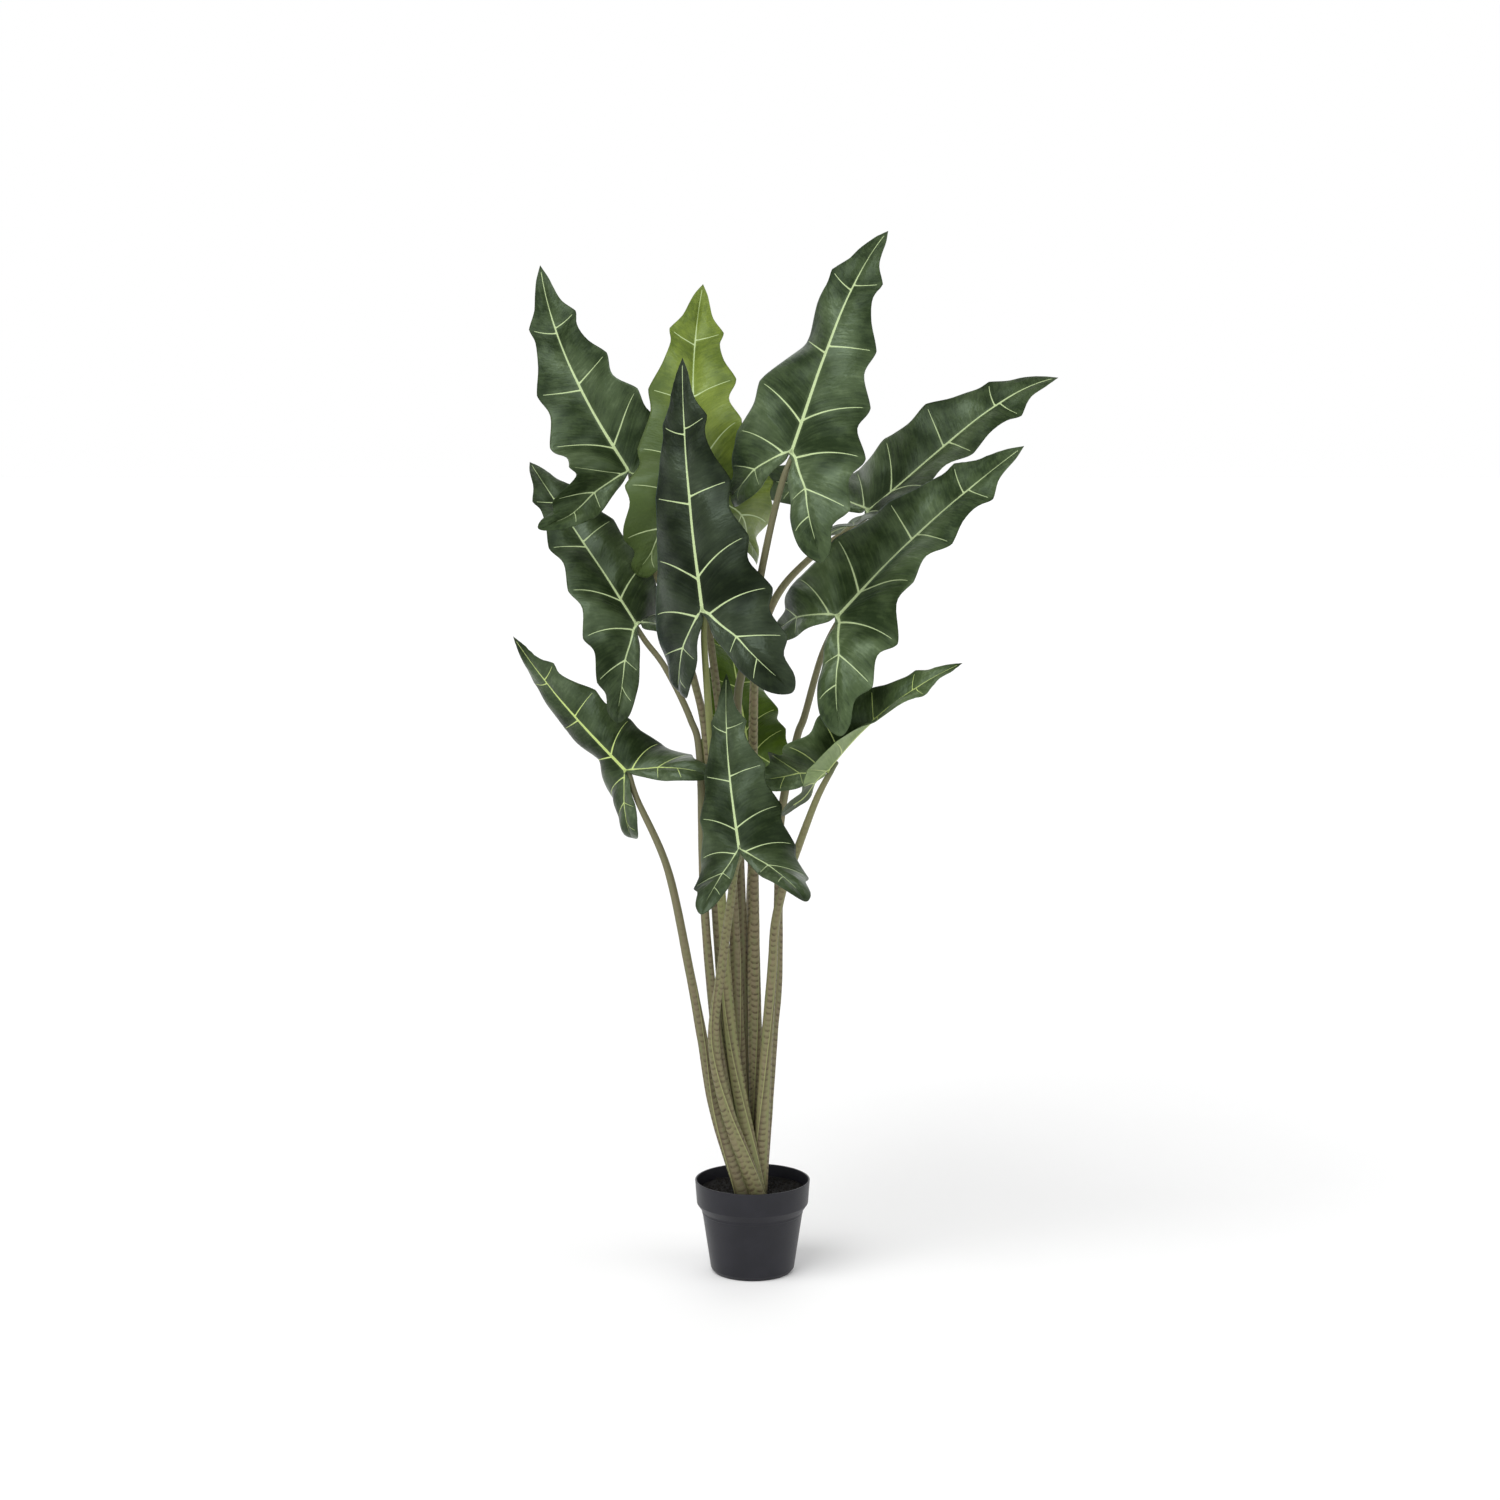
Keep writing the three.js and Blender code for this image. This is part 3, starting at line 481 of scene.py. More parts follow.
class Sheet:
    """Points and faces of one blade's middle surface, with the points on shared lines joined."""

    def __init__(self, leaf):
        self.leaf = leaf
        self.lookup = {}
        self.places, self.flats, self.grains, self.faces = [], [], [], []

    def strip(self, side, marks, columns, inner):
        """Adds one half between its spine and its outer or inner edge."""
        size = self.leaf["length"]
        row = strip_rows(marks)[:, None]
        across = np.linspace(0, 1, columns + 1)[None, :] ** COLUMN_POWER
        x, y = flat_point(row, across, inner, side)
        seam = x < 1e-6
        rise = blade_rise(row, across) + PUCKER_RISE / size * pucker(self.leaf, side, x, y)
        rise = np.where(seam, 0, rise)
        place = blade_point(self.leaf, side, x, y, rise)
        other = blade_point(self.leaf, -side, x, y, rise)
        place = np.where(seam[..., None], (place + other) / 2, place)
        _, middle = flat_point(row, GRAIN_COLUMN, inner, side)
        grain = np.broadcast_to(-middle if inner else middle, x.shape) * size
        ids = np.zeros(x.shape, int)
        for r, c in np.ndindex(x.shape):
            key = (0 if seam[r, c] else side, round(x[r, c], 6), round(y[r, c], 6))
            flat = (side * x[r, c], y[r, c], side)
            ids[r, c] = self.point(key, place[r, c], flat, (grain[r, c], across[0, c]))
        self.add_faces(ids, (side > 0) == inner)

    def point(self, key, place, flat, grain):
        """Index of the point with this key, which is added when it is new."""
        if key not in self.lookup:
            self.lookup[key] = len(self.places)
            self.places.append(place)
            self.flats.append(flat)
            self.grains.append(grain)
        return self.lookup[key]

    def add_faces(self, ids, reverse):
        """Faces of a grid of points, with three corners where two of the four are one point."""
        for r, c in np.ndindex(ids.shape[0] - 1, ids.shape[1] - 1):
            quad = [ids[r, c], ids[r + 1, c], ids[r + 1, c + 1], ids[r, c + 1]]
            if reverse:
                quad.reverse()
            face = [v for k, v in enumerate(quad) if v != quad[k - 1]]
            if len(face) > 2:
                self.faces.append(face)

    def normals(self, places):
        """Normal at each point, from the faces around it, in which large faces count more."""
        normal = np.zeros_like(places)
        for count in (3, 4):
            faces = np.array([f for f in self.faces if len(f) == count])
            p = places[faces]
            if count == 3:
                area = np.cross(p[:, 1] - p[:, 0], p[:, 2] - p[:, 0])
            else:
                area = np.cross(p[:, 2] - p[:, 0], p[:, 3] - p[:, 1])
            for k in range(count):
                np.add.at(normal, faces[:, k], area)
        return normal / np.maximum(np.linalg.norm(normal, axis=1), 1e-12)[:, None]

    def rim(self):
        """Edges that belong to one face only."""
        edges = {}
        for face in self.faces:
            for k, a in enumerate(face):
                b = face[(k + 1) % len(face)]
                if edges.pop((b, a), None) is None:
                    edges[(a, b)] = True
        return list(edges)


def sheet_ribs(leaf, flats):
    """Distance to the nearest rib, and how stout it is, for the points of both halves."""
    x, y = np.abs(flats[:, 0]), flats[:, 1]
    distance, stout = np.zeros(len(x)), np.zeros(len(x))
    for side in (-1, 1):
        on_side = flats[:, 2] == side
        distance[on_side], stout[on_side] = rib_distance(leaf, side, x[on_side], y[on_side])
    return distance, stout


def half_thicknesses(leaf, across, distance, stout):
    """How far the face and the underside stand off the middle surface, ribs included."""
    half = 0.5 * (BLADE_THICKNESS + (EDGE_THICKNESS - BLADE_THICKNESS) * across)
    scale = leaf["length"] / FULL_LENGTH
    ridge = 0.5 + 0.5 * np.cos(pi * np.clip(distance / RIDGE_REACH, 0, 1))
    return (half + FACE_RIB_RISE * scale * ridge * stout ** 0.6,
            half + BACK_RIB_RISE * scale * ridge * stout)


def blade_mesh(leaf):
    """A blade with ribs standing out of both faces, as a thin closed shell."""
    sheet = Sheet(leaf)
    for side in (-1, 1):
        sheet.strip(side, RIB_ROWS, COLUMNS, False)
        sheet.strip(side, INNER_RIB_ROWS, INNER_COLUMNS, True)
    places, flats, grains = np.array(sheet.places), np.array(sheet.flats), np.array(sheet.grains)
    distance, stout = sheet_ribs(leaf, flats)
    ahead, behind = half_thicknesses(leaf, grains[:, 1], distance, stout)
    normal = sheet.normals(places)
    points = np.vstack([places + normal * ahead[:, None], places - normal * behind[:, None]])
    count = len(places)
    back = [[v + count for v in reversed(face)] for face in sheet.faces]
    rim = [[b, a, a + count, b + count] for a, b in sheet.rim()]
    mesh = smooth_mesh("blade_" + leaf["name"], points.tolist(), sheet.faces + back + rim)
    kinds = [0] * len(sheet.faces) + [1] * len(back) + [0] * len(rim)
    mesh.polygons.foreach_set("material_index", np.array(kinds, np.int32))
    store(mesh, "rib", np.tile(np.minimum(distance, 9), 2))
    uv_map(mesh, "flat", np.tile(flats[:, :2] * leaf["length"], (2, 1)))
    uv_map(mesh, "grain", np.tile(grains, (2, 1)))
    mesh.validate()
    return mesh


def smooth_mesh(name, points, faces):
    mesh = bpy.data.meshes.new(name)
    mesh.from_pydata(points, [], faces)
    mesh.polygons.foreach_set("use_smooth", np.ones(len(faces), bool))
    return mesh


def store(mesh, name, values):
    """A number for each point, for the materials to read."""
    attribute = mesh.attributes.new(name, "FLOAT", "POINT")
    attribute.data.foreach_set("value", np.asarray(values, np.float32))


def uv_map(mesh, name, places):
    """A pair of surface coordinates for each point."""
    corners = np.zeros(len(mesh.loops), np.int32)
    mesh.loops.foreach_get("vertex_index", corners)
    layer = mesh.uv_layers.new(name=name)
    layer.data.foreach_set("uv", np.asarray(places, np.float32)[corners].ravel())


def circle(radius, height, sides):
    """Points of a level circle."""
    return [(radius * cos(turn), radius * sin(turn), height) for turn in 2 * pi * np.arange(sides) / sides]


def wall_faces(rings, sides):
    """Faces between neighbouring rings of points."""
    faces = []
    for r in range(rings - 1):
        for k in range(sides):
            n = (k + 1) % sides
            faces.append([r * sides + k, r * sides + n, (r + 1) * sides + n, (r + 1) * sides + k])
    return faces


def tube_faces(rings, sides):
    """Faces of a tube of rings, with a flat one at each end."""
    first = list(range(sides))[::-1]
    last = [(rings - 1) * sides + k for k in range(sides)]
    return wall_faces(rings, sides) + [first, last]


def stalk_section(leaf, height):
    """Half width and half thickness of a stalk at a height, narrowing up to its neck."""
    sheath = leaf["sheath"]
    to_neck = np.maximum((height - sheath) / (leaf["at"][2] - sheath), 0)
    slim = STEM_RADIUS - (STEM_RADIUS - NECK_RADIUS) * to_neck ** NECK_EASE
    to_stem = smooth_step((height - SOIL_HEIGHT) / (sheath - SOIL_HEIGHT))
    return (FOOT_HALF_WIDTH + (slim - FOOT_HALF_WIDTH) * to_stem,
            FOOT_HALF_THICKNESS + (slim - FOOT_HALF_THICKNESS) * to_stem)


def stalk_line(leaf):
    """Centre line of a stalk, from inside the soil up behind the blade's joint."""
    x, y = leaf["foot"]
    joint = place_blade(leaf, (0, -NECK_RADIUS, -NECK_RADIUS - STALK_GAP))
    tip = place_blade(leaf, (0, TIP_REACH, -TIP_RADIUS - TIP_GAP))
    start = (x * FOOT_TAPER, y * FOOT_TAPER, SOIL_HEIGHT - STALK_DEPTH)
    return [start, (x, y, SOIL_HEIGHT), *leaf["route"], tuple(joint), tuple(tip)]


def stalk_relief(seed, turn, length):
    """Low ridges around a stalk and knots about 7 cm apart, as factors of its radius."""
    turn, length = turn[None, :], length[:, None]
    ridges = 1 + 0.03 * np.sin(5 * turn + seed) + 0.02 * np.sin(9 * turn + 2 * seed)
    return ridges, 1 + 0.018 * np.sin(length / 0.0105 + seed) * np.sin(length / 0.037)


def stalk_mesh(leaf):
    """A stalk as a closed tube of flattened rings with a rounded end."""
    line = stalk_line(leaf)
    last = len(line) - 1
    to_joint = np.linspace(0, last - 1, STALK_RINGS - STALK_TIP_RINGS)
    at = np.append(to_joint, np.linspace(last - 1, last, STALK_TIP_RINGS + 1)[1:])
    centre = spline(line, at)
    tangent = np.gradient(centre, axis=0)
    tangent /= np.linalg.norm(tangent, axis=1)[:, None]
    wide = np.array([1.0, 0, 0]) - tangent * tangent[:, :1]
    wide /= np.linalg.norm(wide, axis=1)[:, None]
    deep = np.cross(tangent, wide)
    slim = 1 - np.maximum(at - (last - 1), 0) * (1 - TIP_RADIUS / NECK_RADIUS)
    slim = slim * np.sqrt(np.clip((last + TIP_BEYOND - at) / TIP_ROUNDING, 0, 1))
    a, b = (radius * slim for radius in stalk_section(leaf, centre[:, 2]))
    turn = 2 * pi * (np.arange(STALK_SIDES) + 0.5) / STALK_SIDES
    length = np.concatenate([[0], np.cumsum(np.linalg.norm(np.diff(centre, axis=0), axis=1))])
    ridges, knots = stalk_relief(1.3 * int(leaf["name"]), turn, length)
    ring = (centre[:, None] + wide[:, None] * (a[:, None] * np.cos(turn) * ridges * knots)[..., None]
            + deep[:, None] * (b[:, None] * np.sin(turn) * ridges * knots)[..., None])
    points = ring.reshape(-1, 3)
    mesh = smooth_mesh("stalk_" + leaf["name"], points.tolist(), tube_faces(len(at), STALK_SIDES))
    store(mesh, "along", np.repeat(length, STALK_SIDES))
    store(mesh, "around_cos", np.tile(np.cos(turn), len(at)))
    store(mesh, "around_sin", np.tile(np.sin(turn), len(at)))
    store(mesh, "height", points[:, 2])
    store(mesh, "to_blade", np.repeat(length[-1] - length, STALK_SIDES))
    return mesh


def turned_mesh(name, profile, sides):
    """A round body from [radius, height] points, lowest first on the outside."""
    points = [point for radius, height in profile for point in circle(radius, height, sides)]
    return smooth_mesh(name, points, tube_faces(len(profile), sides))


def rounded(profile, radius, steps):
    """The profile with each inner corner replaced by a short curve."""
    out = [profile[0]]
    for before, corner, after in zip(profile, profile[1:], profile[2:]):
        before, corner, after = (np.array(p, float) for p in (before, corner, after))
        a, b = before - corner, after - corner
        cut = min(radius, 0.45 * np.linalg.norm(a), 0.45 * np.linalg.norm(b))
        start = corner + a / np.linalg.norm(a) * cut
        end = corner + b / np.linalg.norm(b) * cut
        for k in range(steps + 1):
            t = k / steps
            out.append(tuple((1 - t) ** 2 * start + 2 * t * (1 - t) * corner + t * t * end))
    return out + [profile[-1]]


def pot_profile():
    """Pot wall in section: out along the underside, up the outside, over the rim and down the inside."""
    inner = lambda radius: radius - POT_WALL
    return [
        (DISC_RADIUS, RECESS_DEPTH), (RECESS_RADIUS, RECESS_DEPTH), (RECESS_EDGE_RADIUS, 0),
        (BASE_RADIUS - BASE_CORNER, 0), (BASE_RADIUS + BASE_FLARE, BASE_CORNER_HEIGHT),
        (STEP_RADIUS - STEP_RISE, STEP_HEIGHT - STEP_FOOT), (STEP_RADIUS, STEP_HEIGHT - STEP_EDGE),
        (STEP_RADIUS, STEP_HEIGHT), (COLLAR_RADIUS, COLLAR_HEIGHT),
        (RIM_RADIUS - RIM_TAPER, POT_HEIGHT - RIM_EDGE), (RIM_RADIUS, POT_HEIGHT),
        (inner(RIM_RADIUS), POT_HEIGHT), (inner(COLLAR_RADIUS), COLLAR_HEIGHT),
        (inner(STEP_RADIUS), STEP_HEIGHT), (inner(BASE_RADIUS), FLOOR_THICKNESS),
        (DISC_RADIUS, FLOOR_THICKNESS),
    ]


def soil_height(x, y):
    """Level of the soil's top: lumps about 5 cm long with ripples about 1.5 cm long on them."""
    lumps = SOIL_LUMP * (np.sin(110 * x + 1) + np.sin(130 * y + 70 * x))
    ripples = (SOIL_RIPPLES[0] * np.sin(410 * x + 3 * np.sin(230 * y))
               + SOIL_RIPPLES[1] * np.sin(520 * y + 2 * np.sin(310 * x)))
    return SOIL_HEIGHT + lumps + ripples


def soil_mesh():
    """Soil that fills the pot: a lumpy top that levels out at the wall, and a plain body below."""
    slope = (RIM_RADIUS - COLLAR_RADIUS) / (POT_HEIGHT - COLLAR_HEIGHT)
    inside = lambda radius: radius - POT_WALL - SOIL_GAP
    top = inside(COLLAR_RADIUS + slope * (SOIL_HEIGHT - COLLAR_HEIGHT))
    lower = [(inside(BASE_RADIUS), FLOOR_THICKNESS + SOIL_GAP), (inside(STEP_RADIUS), STEP_HEIGHT),
             (inside(COLLAR_RADIUS), COLLAR_HEIGHT)]
    points = [point for radius, height in lower for point in circle(radius, height, SOIL_SIDES)]
    for r in range(SOIL_RINGS):
        lumpy = float(smooth_step(r / SOIL_RINGS / SOIL_FADE))
        for x, y, level in circle(top * (1 - r / SOIL_RINGS), SOIL_HEIGHT, SOIL_SIDES):
            points.append((x, y, level + (soil_height(x, y) - level) * lumpy))
    points.append((0, 0, float(soil_height(0, 0))))
    rings = len(lower) + SOIL_RINGS
    last = (rings - 1) * SOIL_SIDES
    faces = wall_faces(rings, SOIL_SIDES)
    faces += [[last + k, last + (k + 1) % SOIL_SIDES, len(points) - 1] for k in range(SOIL_SIDES)]
    faces.append(list(range(SOIL_SIDES))[::-1])
    return smooth_mesh("potting_soil", points, faces)


def crumb_mesh(count, rng):
    """Loose crumbs of soil, each a small uneven lump, as one mesh."""
    corners = np.array([(1, 0, 0), (-1, 0, 0), (0, 1, 0), (0, -1, 0), (0, 0, 1), (0, 0, -1)], float)
    shell = [(0, 2, 4), (2, 1, 4), (1, 3, 4), (3, 0, 4), (2, 0, 5), (1, 2, 5), (3, 1, 5), (0, 3, 5)]
    points, faces = [], []
    for _ in range(count):
        radius = CRUMB_REACH * rng.random() ** 0.5
        turn = 2 * pi * rng.random()
        x, y = radius * cos(turn), radius * sin(turn)
        size = CRUMB_SIZE + CRUMB_SIZE_RANGE * rng.random() ** 2.5
        lump = corners * size * (0.7 + 0.6 * rng.random((6, 3)))
        spin = 2 * pi * rng.random()
        lump[:, :2] = lump[:, :2] @ np.array([[cos(spin), -sin(spin)], [sin(spin), cos(spin)]])
        start = len(points)
        points += (lump + (x, y, float(soil_height(x, y)) + 0.3 * size)).tolist()
        faces += [[start + k for k in f] for f in shell]
    mesh = bpy.data.meshes.new("soil_crumbs")
    mesh.from_pydata(points, [], faces)
    return mesh


def colour_value(value):
    """A node's output as it is, or a colour with its opacity."""
    return value if isinstance(value, bpy.types.NodeSocket) else (*value, 1)


class Finish:
    """Lays out the nodes of one material."""

    def __init__(self, name):
        self.material = bpy.data.materials.new(name)
        self.material.use_nodes = True
        self.tree = self.material.node_tree
        self.tree.nodes.clear()
        self.output = self.tree.nodes.new("ShaderNodeOutputMaterial")

    def node(self, kind, settings=None, inputs=None):
        node = self.tree.nodes.new(kind)
        for key, value in (settings or {}).items():
            setattr(node, key, value)
        for key, value in (inputs or {}).items():
            self.set(node, key, value)
        return node

    def set(self, node, key, value):
        socket = node.inputs[key]
        if isinstance(value, bpy.types.NodeSocket):
            self.tree.links.new(value, socket)
        else:
            socket.default_value = value

    def number(self, name):
        return self.node("ShaderNodeAttribute", {"attribute_name": name}).outputs["Fac"]

    def uv(self, name):
        return self.node("ShaderNodeUVMap", {"uv_map": name}).outputs["UV"]

    def place(self):
        return self.node("ShaderNodeTexCoord").outputs["Object"]

    def split(self, vector):
        return tuple(self.node("ShaderNodeSeparateXYZ", inputs={0: vector}).outputs)

    def join(self, x, y, z=0.0):
        return self.node("ShaderNodeCombineXYZ", inputs={0: x, 1: y, 2: z}).outputs[0]

    def math(self, operation, *values):
        return self.node("ShaderNodeMath", {"operation": operation}, dict(enumerate(values))).outputs[0]

    def times(self, a, b):
        return self.math("MULTIPLY", a, b)

    def plus(self, a, b):
        return self.math("ADD", a, b)

    def total(self, first, *others):
        """Sum of (value, weight) pairs."""
        out = self.times(*first)
        for pair in others:
            out = self.plus(out, self.times(*pair))
        return out

    def step(self, value, low, high, to_low=0.0, to_high=1.0):
        """Smooth change from to_low at low to to_high at high."""
        inputs = {"Value": value, "From Min": low, "From Max": high, "To Min": to_low, "To Max": to_high}
        return self.node("ShaderNodeMapRange", {"interpolation_type": "SMOOTHSTEP"}, inputs).outputs[0]

    def noise(self, vector, scale, detail=2.0, roughness=0.5):
        inputs = {"Vector": vector, "Scale": scale, "Detail": detail, "Roughness": roughness}
        return self.node("ShaderNodeTexNoise", inputs=inputs).outputs["Fac"]

    def scaled(self, vector, x, y):
        node = self.node("ShaderNodeVectorMath", {"operation": "MULTIPLY"}, {0: vector, 1: (x, y, 1)})
        return node.outputs[0]

    def mix(self, amount, a, b):
        inputs = {0: amount, 6: colour_value(a), 7: colour_value(b)}
        return self.node("ShaderNodeMix", {"data_type": "RGBA"}, inputs).outputs[2]

    def bump(self, height, depth):
        return self.node("ShaderNodeBump", inputs={"Height": height, "Distance": depth}).outputs["Normal"]

    def surface(self, colour, roughness, **more):
        shader = self.node("ShaderNodeBsdfPrincipled")
        self.set(shader, "Base Color", colour_value(colour))
        self.set(shader, "Roughness", roughness)
        for key, value in more.items():
            self.set(shader, key.replace("_", " "), value)
        self.tree.links.new(shader.outputs[0], self.output.inputs["Surface"])
        return self.material


def shaded(colour, shade):
    return tuple(shade * c for c in colour)


def blade_finish(name, greens, vein, shade, bloom, painted_shade=0.0):
    """Face of a leaf: mottled green with glossy patches, striped along the side ribs, with pale ribs."""
    f = Finish(name)
    # shade gives each leaf a lighter or darker copy of the same greens: partly the leaf's own tone, partly
    # painted light and shade.
    dark, mid, light = (shaded(colour, shade) for colour in greens)
    flat, grain = f.uv("flat"), f.uv("grain")
    rib = f.number("rib")
    patches = f.step(f.noise(flat, 9), 0.38, 0.64)
    clouds = f.noise(flat, 34, 5, 0.72)
    folds = f.noise(f.scaled(grain, 95, 3.2), 1, 2, 0.6)
    stripes = f.noise(f.scaled(grain, 280, 2.4), 1, 2, 0.6)
    fine = f.noise(f.scaled(grain, 900, 5), 1)
    tone = f.total((clouds, 0.32), (folds, 0.24), (stripes, 0.28), (patches, 0.24))
    green = f.mix(f.step(tone, 0.36, 0.62), dark, mid)
    green = f.mix(f.step(tone, 0.58, 0.8, 0.0, 0.85), green, light)
    green = f.mix(f.step(rib, 1.1, 3.0, 0.22, 0.0), green, light)
    # Painted shade: the lower left of the leaf darkens towards the green of the painted shade.
    if painted_shade:
        x, y, _ = f.split(flat)
        green = f.mix(f.step(f.plus(y, f.times(x, 2.2)), -0.05, 0.2, painted_shade, 0.0), green, PAINTED_SHADE_GREEN)
    waver = f.plus(rib, f.times(f.plus(f.noise(flat, 420, 1), -0.5), 0.4))
    on_rib = f.step(waver, 0.78, 1.12, 1.0, 0.0)
    pale = f.mix(f.step(fine, 0.3, 0.7), vein, shaded(vein, 0.82))
    colour = f.mix(on_rib, green, pale)
    height = f.total((folds, 1.3), (stripes, 0.35), (fine, 0.1), (f.noise(flat, 320, 3, 0.6), 0.14))
    gloss = f.plus(f.times(patches, 0.32), 0.09)
    shine = f.plus(f.times(patches, -0.12), 0.42)
    return f.surface(colour, shine, Normal=f.bump(height, 0.0012), Specular_IOR_Level=gloss,
                     Specular_Tint=GLOSS_TINT, Sheen_Weight=bloom, Sheen_Roughness=0.4,
                     Sheen_Tint=BLOOM_TINT)


def back_finish(name, dark, light, vein, lobe_green=None):
    """Underside of a leaf: paler and duller. Its lobes take lobe_green towards their tips, where given."""
    f = Finish(name)
    flat, grain = f.uv("flat"), f.uv("grain")
    clouds = f.noise(flat, 16, 3, 0.55)
    stripes = f.noise(f.scaled(grain, 300, 1.6), 1, 2, 0.6)
    green = f.mix(f.step(f.total((clouds, 0.6), (stripes, 0.4)), 0.35, 0.65), dark, light)
    if lobe_green:
        green = f.mix(f.step(f.split(flat)[1], *LOBE_FADE, 0.95, 0.0), green, lobe_green)
    colour = f.mix(f.step(f.number("rib"), 0.9, 1.25, 1.0, 0.0), green, vein)
    height = f.total((stripes, 0.5), (f.noise(flat, 380, 3, 0.6), 0.3))
    return f.surface(colour, 0.55, Normal=f.bump(height, 0.0006), Specular_IOR_Level=0.4)


def stalk_marks(f, seed, bands, angle, along):
    """Columns of short dark arcs up a stalk like fish scales, and how far each point is in a column."""
    marks, columns = 0.0, 0.0
    for column in range(STALK_COLUMNS):
        middle = -pi + (column + 0.5) * 2 * pi / STALK_COLUMNS + 0.7 * seed
        local = f.math("WRAP", f.plus(angle, -middle), pi, -pi)
        reach = f.math("ABSOLUTE", f.times(local, STALK_COLUMNS / pi))
        wobble = f.plus(f.noise(f.join(f.times(along, 60), middle, seed), 1), -0.5)
        arc = f.plus(f.times(along, 1 / STALK_PITCH), f.plus(f.times(wobble, 0.8), 0.5 * (column % 2)))
        arc = f.plus(arc, f.times(f.times(reach, reach), -0.3))
        part = f.math("FRACT", arc)
        chance = f.node("ShaderNodeTexWhiteNoise", {"noise_dimensions": "2D"},
                        {"Vector": f.join(f.math("FLOOR", arc), 3.7 * column + seed)}).outputs["Value"]
        thick = f.times(f.step(part, 0.0, 0.16), f.step(part, 0.24, 0.66, 1.0, 0.0))
        wide = f.step(reach, 0.75 * bands, bands + 0.3, 1.0, 0.0)
        dash = f.times(f.times(thick, wide), f.step(chance, 0.0, 0.45, 0.4, 1.0))
        marks = f.math("MAXIMUM", marks, dash)
        columns = f.math("MAXIMUM", columns, wide)
    return marks, columns


def stalk_ground(f, looks, around, along, height, columns):
    """Olive and green clouds, brown in the columns, plainer at the top, with a brown mottle."""
    fade_height, shade, fresh = looks
    # shade gives each stalk a lighter or darker copy of its colours: partly its own tone, partly painted
    # light against the shade the stalks cast on each other.
    olive, brown, green, top = (shaded(colour, shade)
                                for colour in (STALK_OLIVE, STALK_BROWN, STALK_GREEN, STALK_TOP))
    clouds = f.noise(f.join(*around, f.times(along, 22)), 1.6, 3, 0.6)
    ground = f.mix(f.step(clouds, 0.42, 0.66, 0.0, 0.8), olive, green)
    ground = f.mix(f.times(columns, f.step(clouds, 0.3, 0.65, 0.8, 0.2)), ground, brown)
    ground = f.mix(f.step(height, fade_height, fade_height + 0.35, 0.0, 0.8), ground, top)
    ground = f.mix(f.step(height, *FRESH_FROM, 0.3 * fresh, fresh), ground, STALK_FRESH)
    mottle = f.noise(f.join(*around, f.times(along, 110)), 2.4, 4, 0.65)
    return f.mix(f.step(mottle, 0.45, 0.8, 0.0, 0.35), ground, brown)


def stalk_seam(f, seed, angle, height):
    """The seam that winds up a sheath, and the shade on one side of it."""
    turn = SEAM_TURN * (-1) ** seed
    middle = f.plus(f.times(height, turn), -pi / 2 - SEAM_FRONT_HEIGHT * turn)
    across = f.math("WRAP", f.plus(angle, f.times(middle, -1)), pi, -pi)
    shade = f.times(f.step(across, 0.0, 0.1), f.step(across, 0.1, 0.7, 0.6, 0.0))
    return f.step(f.math("ABSOLUTE", across), 0.05, 0.13, 1.0, 0.0), shade


def stalk_finish(name, seed, bands, fade_height, shade, fresh=0.0):
    """A stalk: olive, with brownish columns of dark arcs and a pale seam, plainer at the top."""
    f = Finish(name)
    along, height = f.number("along"), f.number("height")
    side, front = f.number("around_cos"), f.number("around_sin")
    around = (side, front)
    angle = f.math("ARCTAN2", front, side)
    marks, columns = stalk_marks(f, float(seed), bands, angle, along)
    seam, seam_shade = stalk_seam(f, seed, angle, height)
    low = f.step(height, *SEAM_FADE, 1.0, 0.0)
    ground = stalk_ground(f, (fade_height, shade, fresh), around, along, height, columns)
    ground = f.mix(f.times(seam_shade, low), ground, STALK_MARK)
    fade = f.step(height, fade_height, fade_height + 0.22, 0.82, 0.1)
    blur = f.step(f.noise(f.join(*around, f.times(along, 240)), 2, 3, 0.6), 0.36, 0.6, 0.4, 1.0)
    strength = f.times(f.times(marks, fade), blur)
    colour = f.mix(strength, ground, STALK_MARK)
    colour = f.mix(f.times(seam, f.times(low, 0.8)), colour, STALK_SEAM)
    # Darker towards the soil.
    colour = f.mix(f.step(height, SOIL_HEIGHT, SOIL_HEIGHT + FOOT_DARK_HEIGHT, 0.5, 0.0), colour, STALK_FOOT)
    colour = f.mix(f.step(f.number("to_blade"), *JOINT_FADE, 0.75, 0.0), colour, JOINT_COLOUR)
    grooves = f.noise(f.join(f.times(side, 6), f.times(front, 6), f.times(along, 8)), 1.5)
    grain = f.noise(f.place(), 900)
    relief = f.total((grooves, 0.6), (strength, -0.45), (seam, f.times(low, 0.6)), (grain, 0.15))
    return f.surface(colour, 0.5, Normal=f.bump(relief, 0.0007), Specular_IOR_Level=0.35)


def pot_finish():
    """Moulded charcoal plastic with a faint satin grain and a little dust near the floor."""
    f = Finish("pot_plastic")
    place = f.place()
    height = f.split(place)[2]
    clouds = f.noise(place, 30, 3, 0.6)
    colour = f.mix(f.step(clouds, 0.35, 0.7), *POT_COLOURS)
    low = f.step(height, DUST_HEIGHT, 0.0, 0.0, 0.4)
    dust = f.times(f.step(f.noise(place, 260, 3, 0.7), 0.62, 0.8), low)
    colour = f.mix(dust, colour, POT_DUST)
    grain = f.noise(place, 1400, 2, 0.6)
    rings = f.noise(f.join(0.0, 0.0, f.times(height, 520)), 1, 1)
    shine = f.plus(0.4, f.times(f.plus(clouds, -0.5), 0.16))
    relief = f.total((grain, 0.5), (rings, 0.35))
    return f.surface(colour, shine, Normal=f.bump(relief, 0.00018), Specular_IOR_Level=0.32)


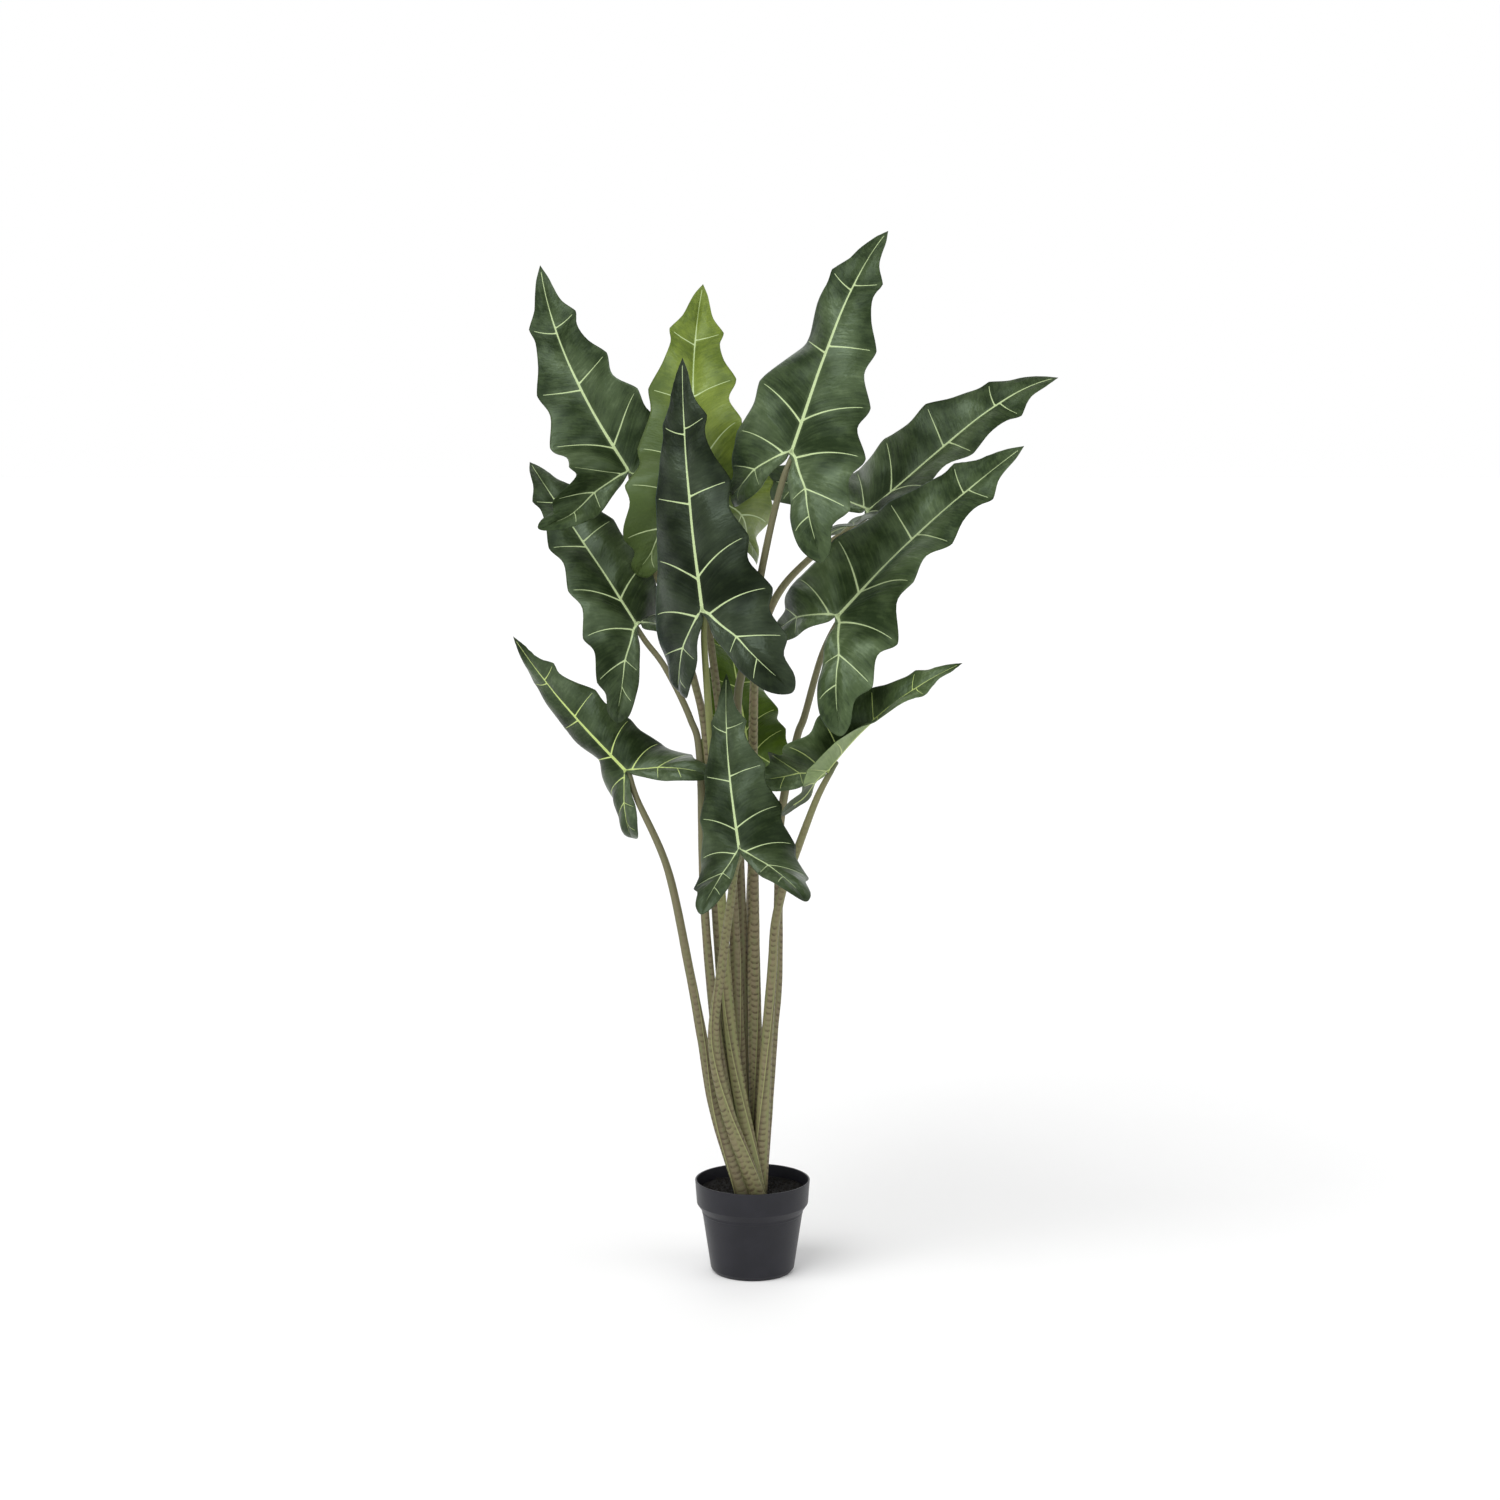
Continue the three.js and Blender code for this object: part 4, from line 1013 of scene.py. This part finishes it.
def soil_finish(name, colours, scale):
    """Dull grains of the two colours with paler specks. scale is how fine the grains are."""
    f = Finish(name)
    place = f.place()
    grains = f.noise(place, scale, 5, 0.7)
    colour = f.mix(f.step(grains, 0.4, 0.75), *colours)
    specks = f.step(f.noise(place, 3 * scale), 0.68, 0.78)
    colour = f.mix(f.times(specks, 0.5), colour, SOIL_SPECK)
    return f.surface(colour, 0.93, Normal=f.bump(grains, 0.0022), Specular_IOR_Level=0.25)


def floor_finish():
    f = Finish("floor_paint")
    return f.surface(f.mix(f.noise(f.place(), 3), *FLOOR_COLOURS), 0.8)


def add(name, mesh, materials):
    piece = bpy.data.objects.new(name, mesh)
    bpy.context.scene.collection.objects.link(piece)
    for material in materials:
        mesh.materials.append(material)
    return piece


def add_to_plant(name, mesh, materials, node):
    """Adds a piece of the plant, which stands for a node of the model where one is given."""
    piece = add(name, mesh, materials)
    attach(piece, "root")
    if node:
        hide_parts(node)


def build_camera():
    data = bpy.data.cameras.new("camera")
    data.lens = CAMERA_LENS
    data.sensor_width = CAMERA_SENSOR
    camera = bpy.data.objects.new("camera", data)
    camera.location = CAMERA_PLACE
    camera.rotation_euler = (radians(90 - CAMERA_PITCH), 0, 0)
    bpy.context.scene.collection.objects.link(camera)
    bpy.context.scene.camera = camera


def sun_light(name, place, strength, softness):
    """Soft light that shines from a place towards the plant."""
    data = bpy.data.lights.new(name, "SUN")
    data.energy = strength
    data.angle = radians(softness)
    light = bpy.data.objects.new(name, data)
    light.location = place
    light.rotation_euler = (-Vector(place)).to_track_quat("-Z", "Y").to_euler()
    bpy.context.scene.collection.objects.link(light)


def build_surround():
    """A studio surround: white at the height of the horizon and below, dimmer towards the ceiling."""
    world = bpy.data.worlds.new("surround")
    bpy.context.scene.world = world
    world.use_nodes = True
    nodes, links = world.node_tree.nodes, world.node_tree.links
    direction = nodes.new("ShaderNodeTexCoord")
    parts = nodes.new("ShaderNodeSeparateXYZ")
    height = nodes.new("ShaderNodeMapRange")
    height.interpolation_type = "SMOOTHSTEP"
    values = {"From Min": WHITE_UP_TO, "From Max": CEILING_FROM, "To Min": 1.0, "To Max": CEILING}
    for key, value in values.items():
        height.inputs[key].default_value = value
    links.new(direction.outputs["Generated"], parts.inputs[0])
    links.new(parts.outputs["Z"], height.inputs["Value"])
    links.new(height.outputs[0], nodes["Background"].inputs["Strength"])
    nodes["Background"].inputs["Color"].default_value = (1, 1, 1, 1)


def build_stage():
    """A wide pale floor, a bright even surround and soft lights from above and the sides."""
    mesh = bpy.data.meshes.new("floor")
    corners = [(x * FLOOR_REACH, y * FLOOR_REACH, 0) for x, y in ((-1, -1), (1, -1), (1, 1), (-1, 1))]
    mesh.from_pydata(corners, [], [(0, 1, 2, 3)])
    floor = add("floor", mesh, [floor_finish()])
    floor.location.z = -FLOOR_DROP
    build_surround()
    for name, light in LIGHTS.items():
        sun_light(name, *light)
    bpy.context.scene.view_settings.view_transform = "Standard"


def build_materials():
    """Face and underside of each leaf."""
    faces = {}
    for leaf in LEAVES:
        name = leaf["name"]
        greens = {"02": YOUNG_GREENS, "11": FRESH_GREENS}.get(name, DARK_GREENS)
        vein = FRESH_VEIN if name in FRESH_VEINED else VEIN
        faces[name] = blade_finish("leaf_face_" + name, greens, vein, *LEAF_LOOKS[name])
    usual = back_finish("leaf_back", *BACK_COLOURS)
    backs = {leaf["name"]: usual for leaf in LEAVES}
    backs["02"] = back_finish("leaf_back_young", *YOUNG_BACK_COLOURS)
    backs["10"] = back_finish("leaf_back_pale", *PALE_BACK_COLOURS, LOBE_GREEN)
    return faces, backs


def build_plant():
    faces, backs = build_materials()
    for leaf in LEAVES:
        name = leaf["name"]
        add_to_plant("blade_" + name, blade_mesh(leaf), [faces[name], backs[name]], "leaf_" + name)
        stalk = stalk_finish("stalk_" + name, int(name), *STALK_LOOKS[name])
        add_to_plant("stalk_" + name, stalk_mesh(leaf), [stalk], "petiole_" + name)


def build_pot():
    """The pot, its soil, and the crumbs that lie on the soil."""
    pot = turned_mesh("nursery_pot", rounded(pot_profile(), POT_ROUNDING, POT_ROUNDING_STEPS), POT_SIDES)
    add_to_plant("nursery_pot", pot, [pot_finish()], "pot")
    soil = soil_finish("soil_peat", PEAT_COLOURS, 420)
    add_to_plant("potting_soil", soil_mesh(), [soil], "soil")
    crumbs = soil_finish("soil_crumb", CRUMB_COLOURS, 700)
    rng = np.random.default_rng(CRUMB_SEED)
    add_to_plant("soil_crumbs", crumb_mesh(CRUMB_COUNT, rng), [crumbs], None)


build_camera()
build_stage()
build_plant()
build_pot()
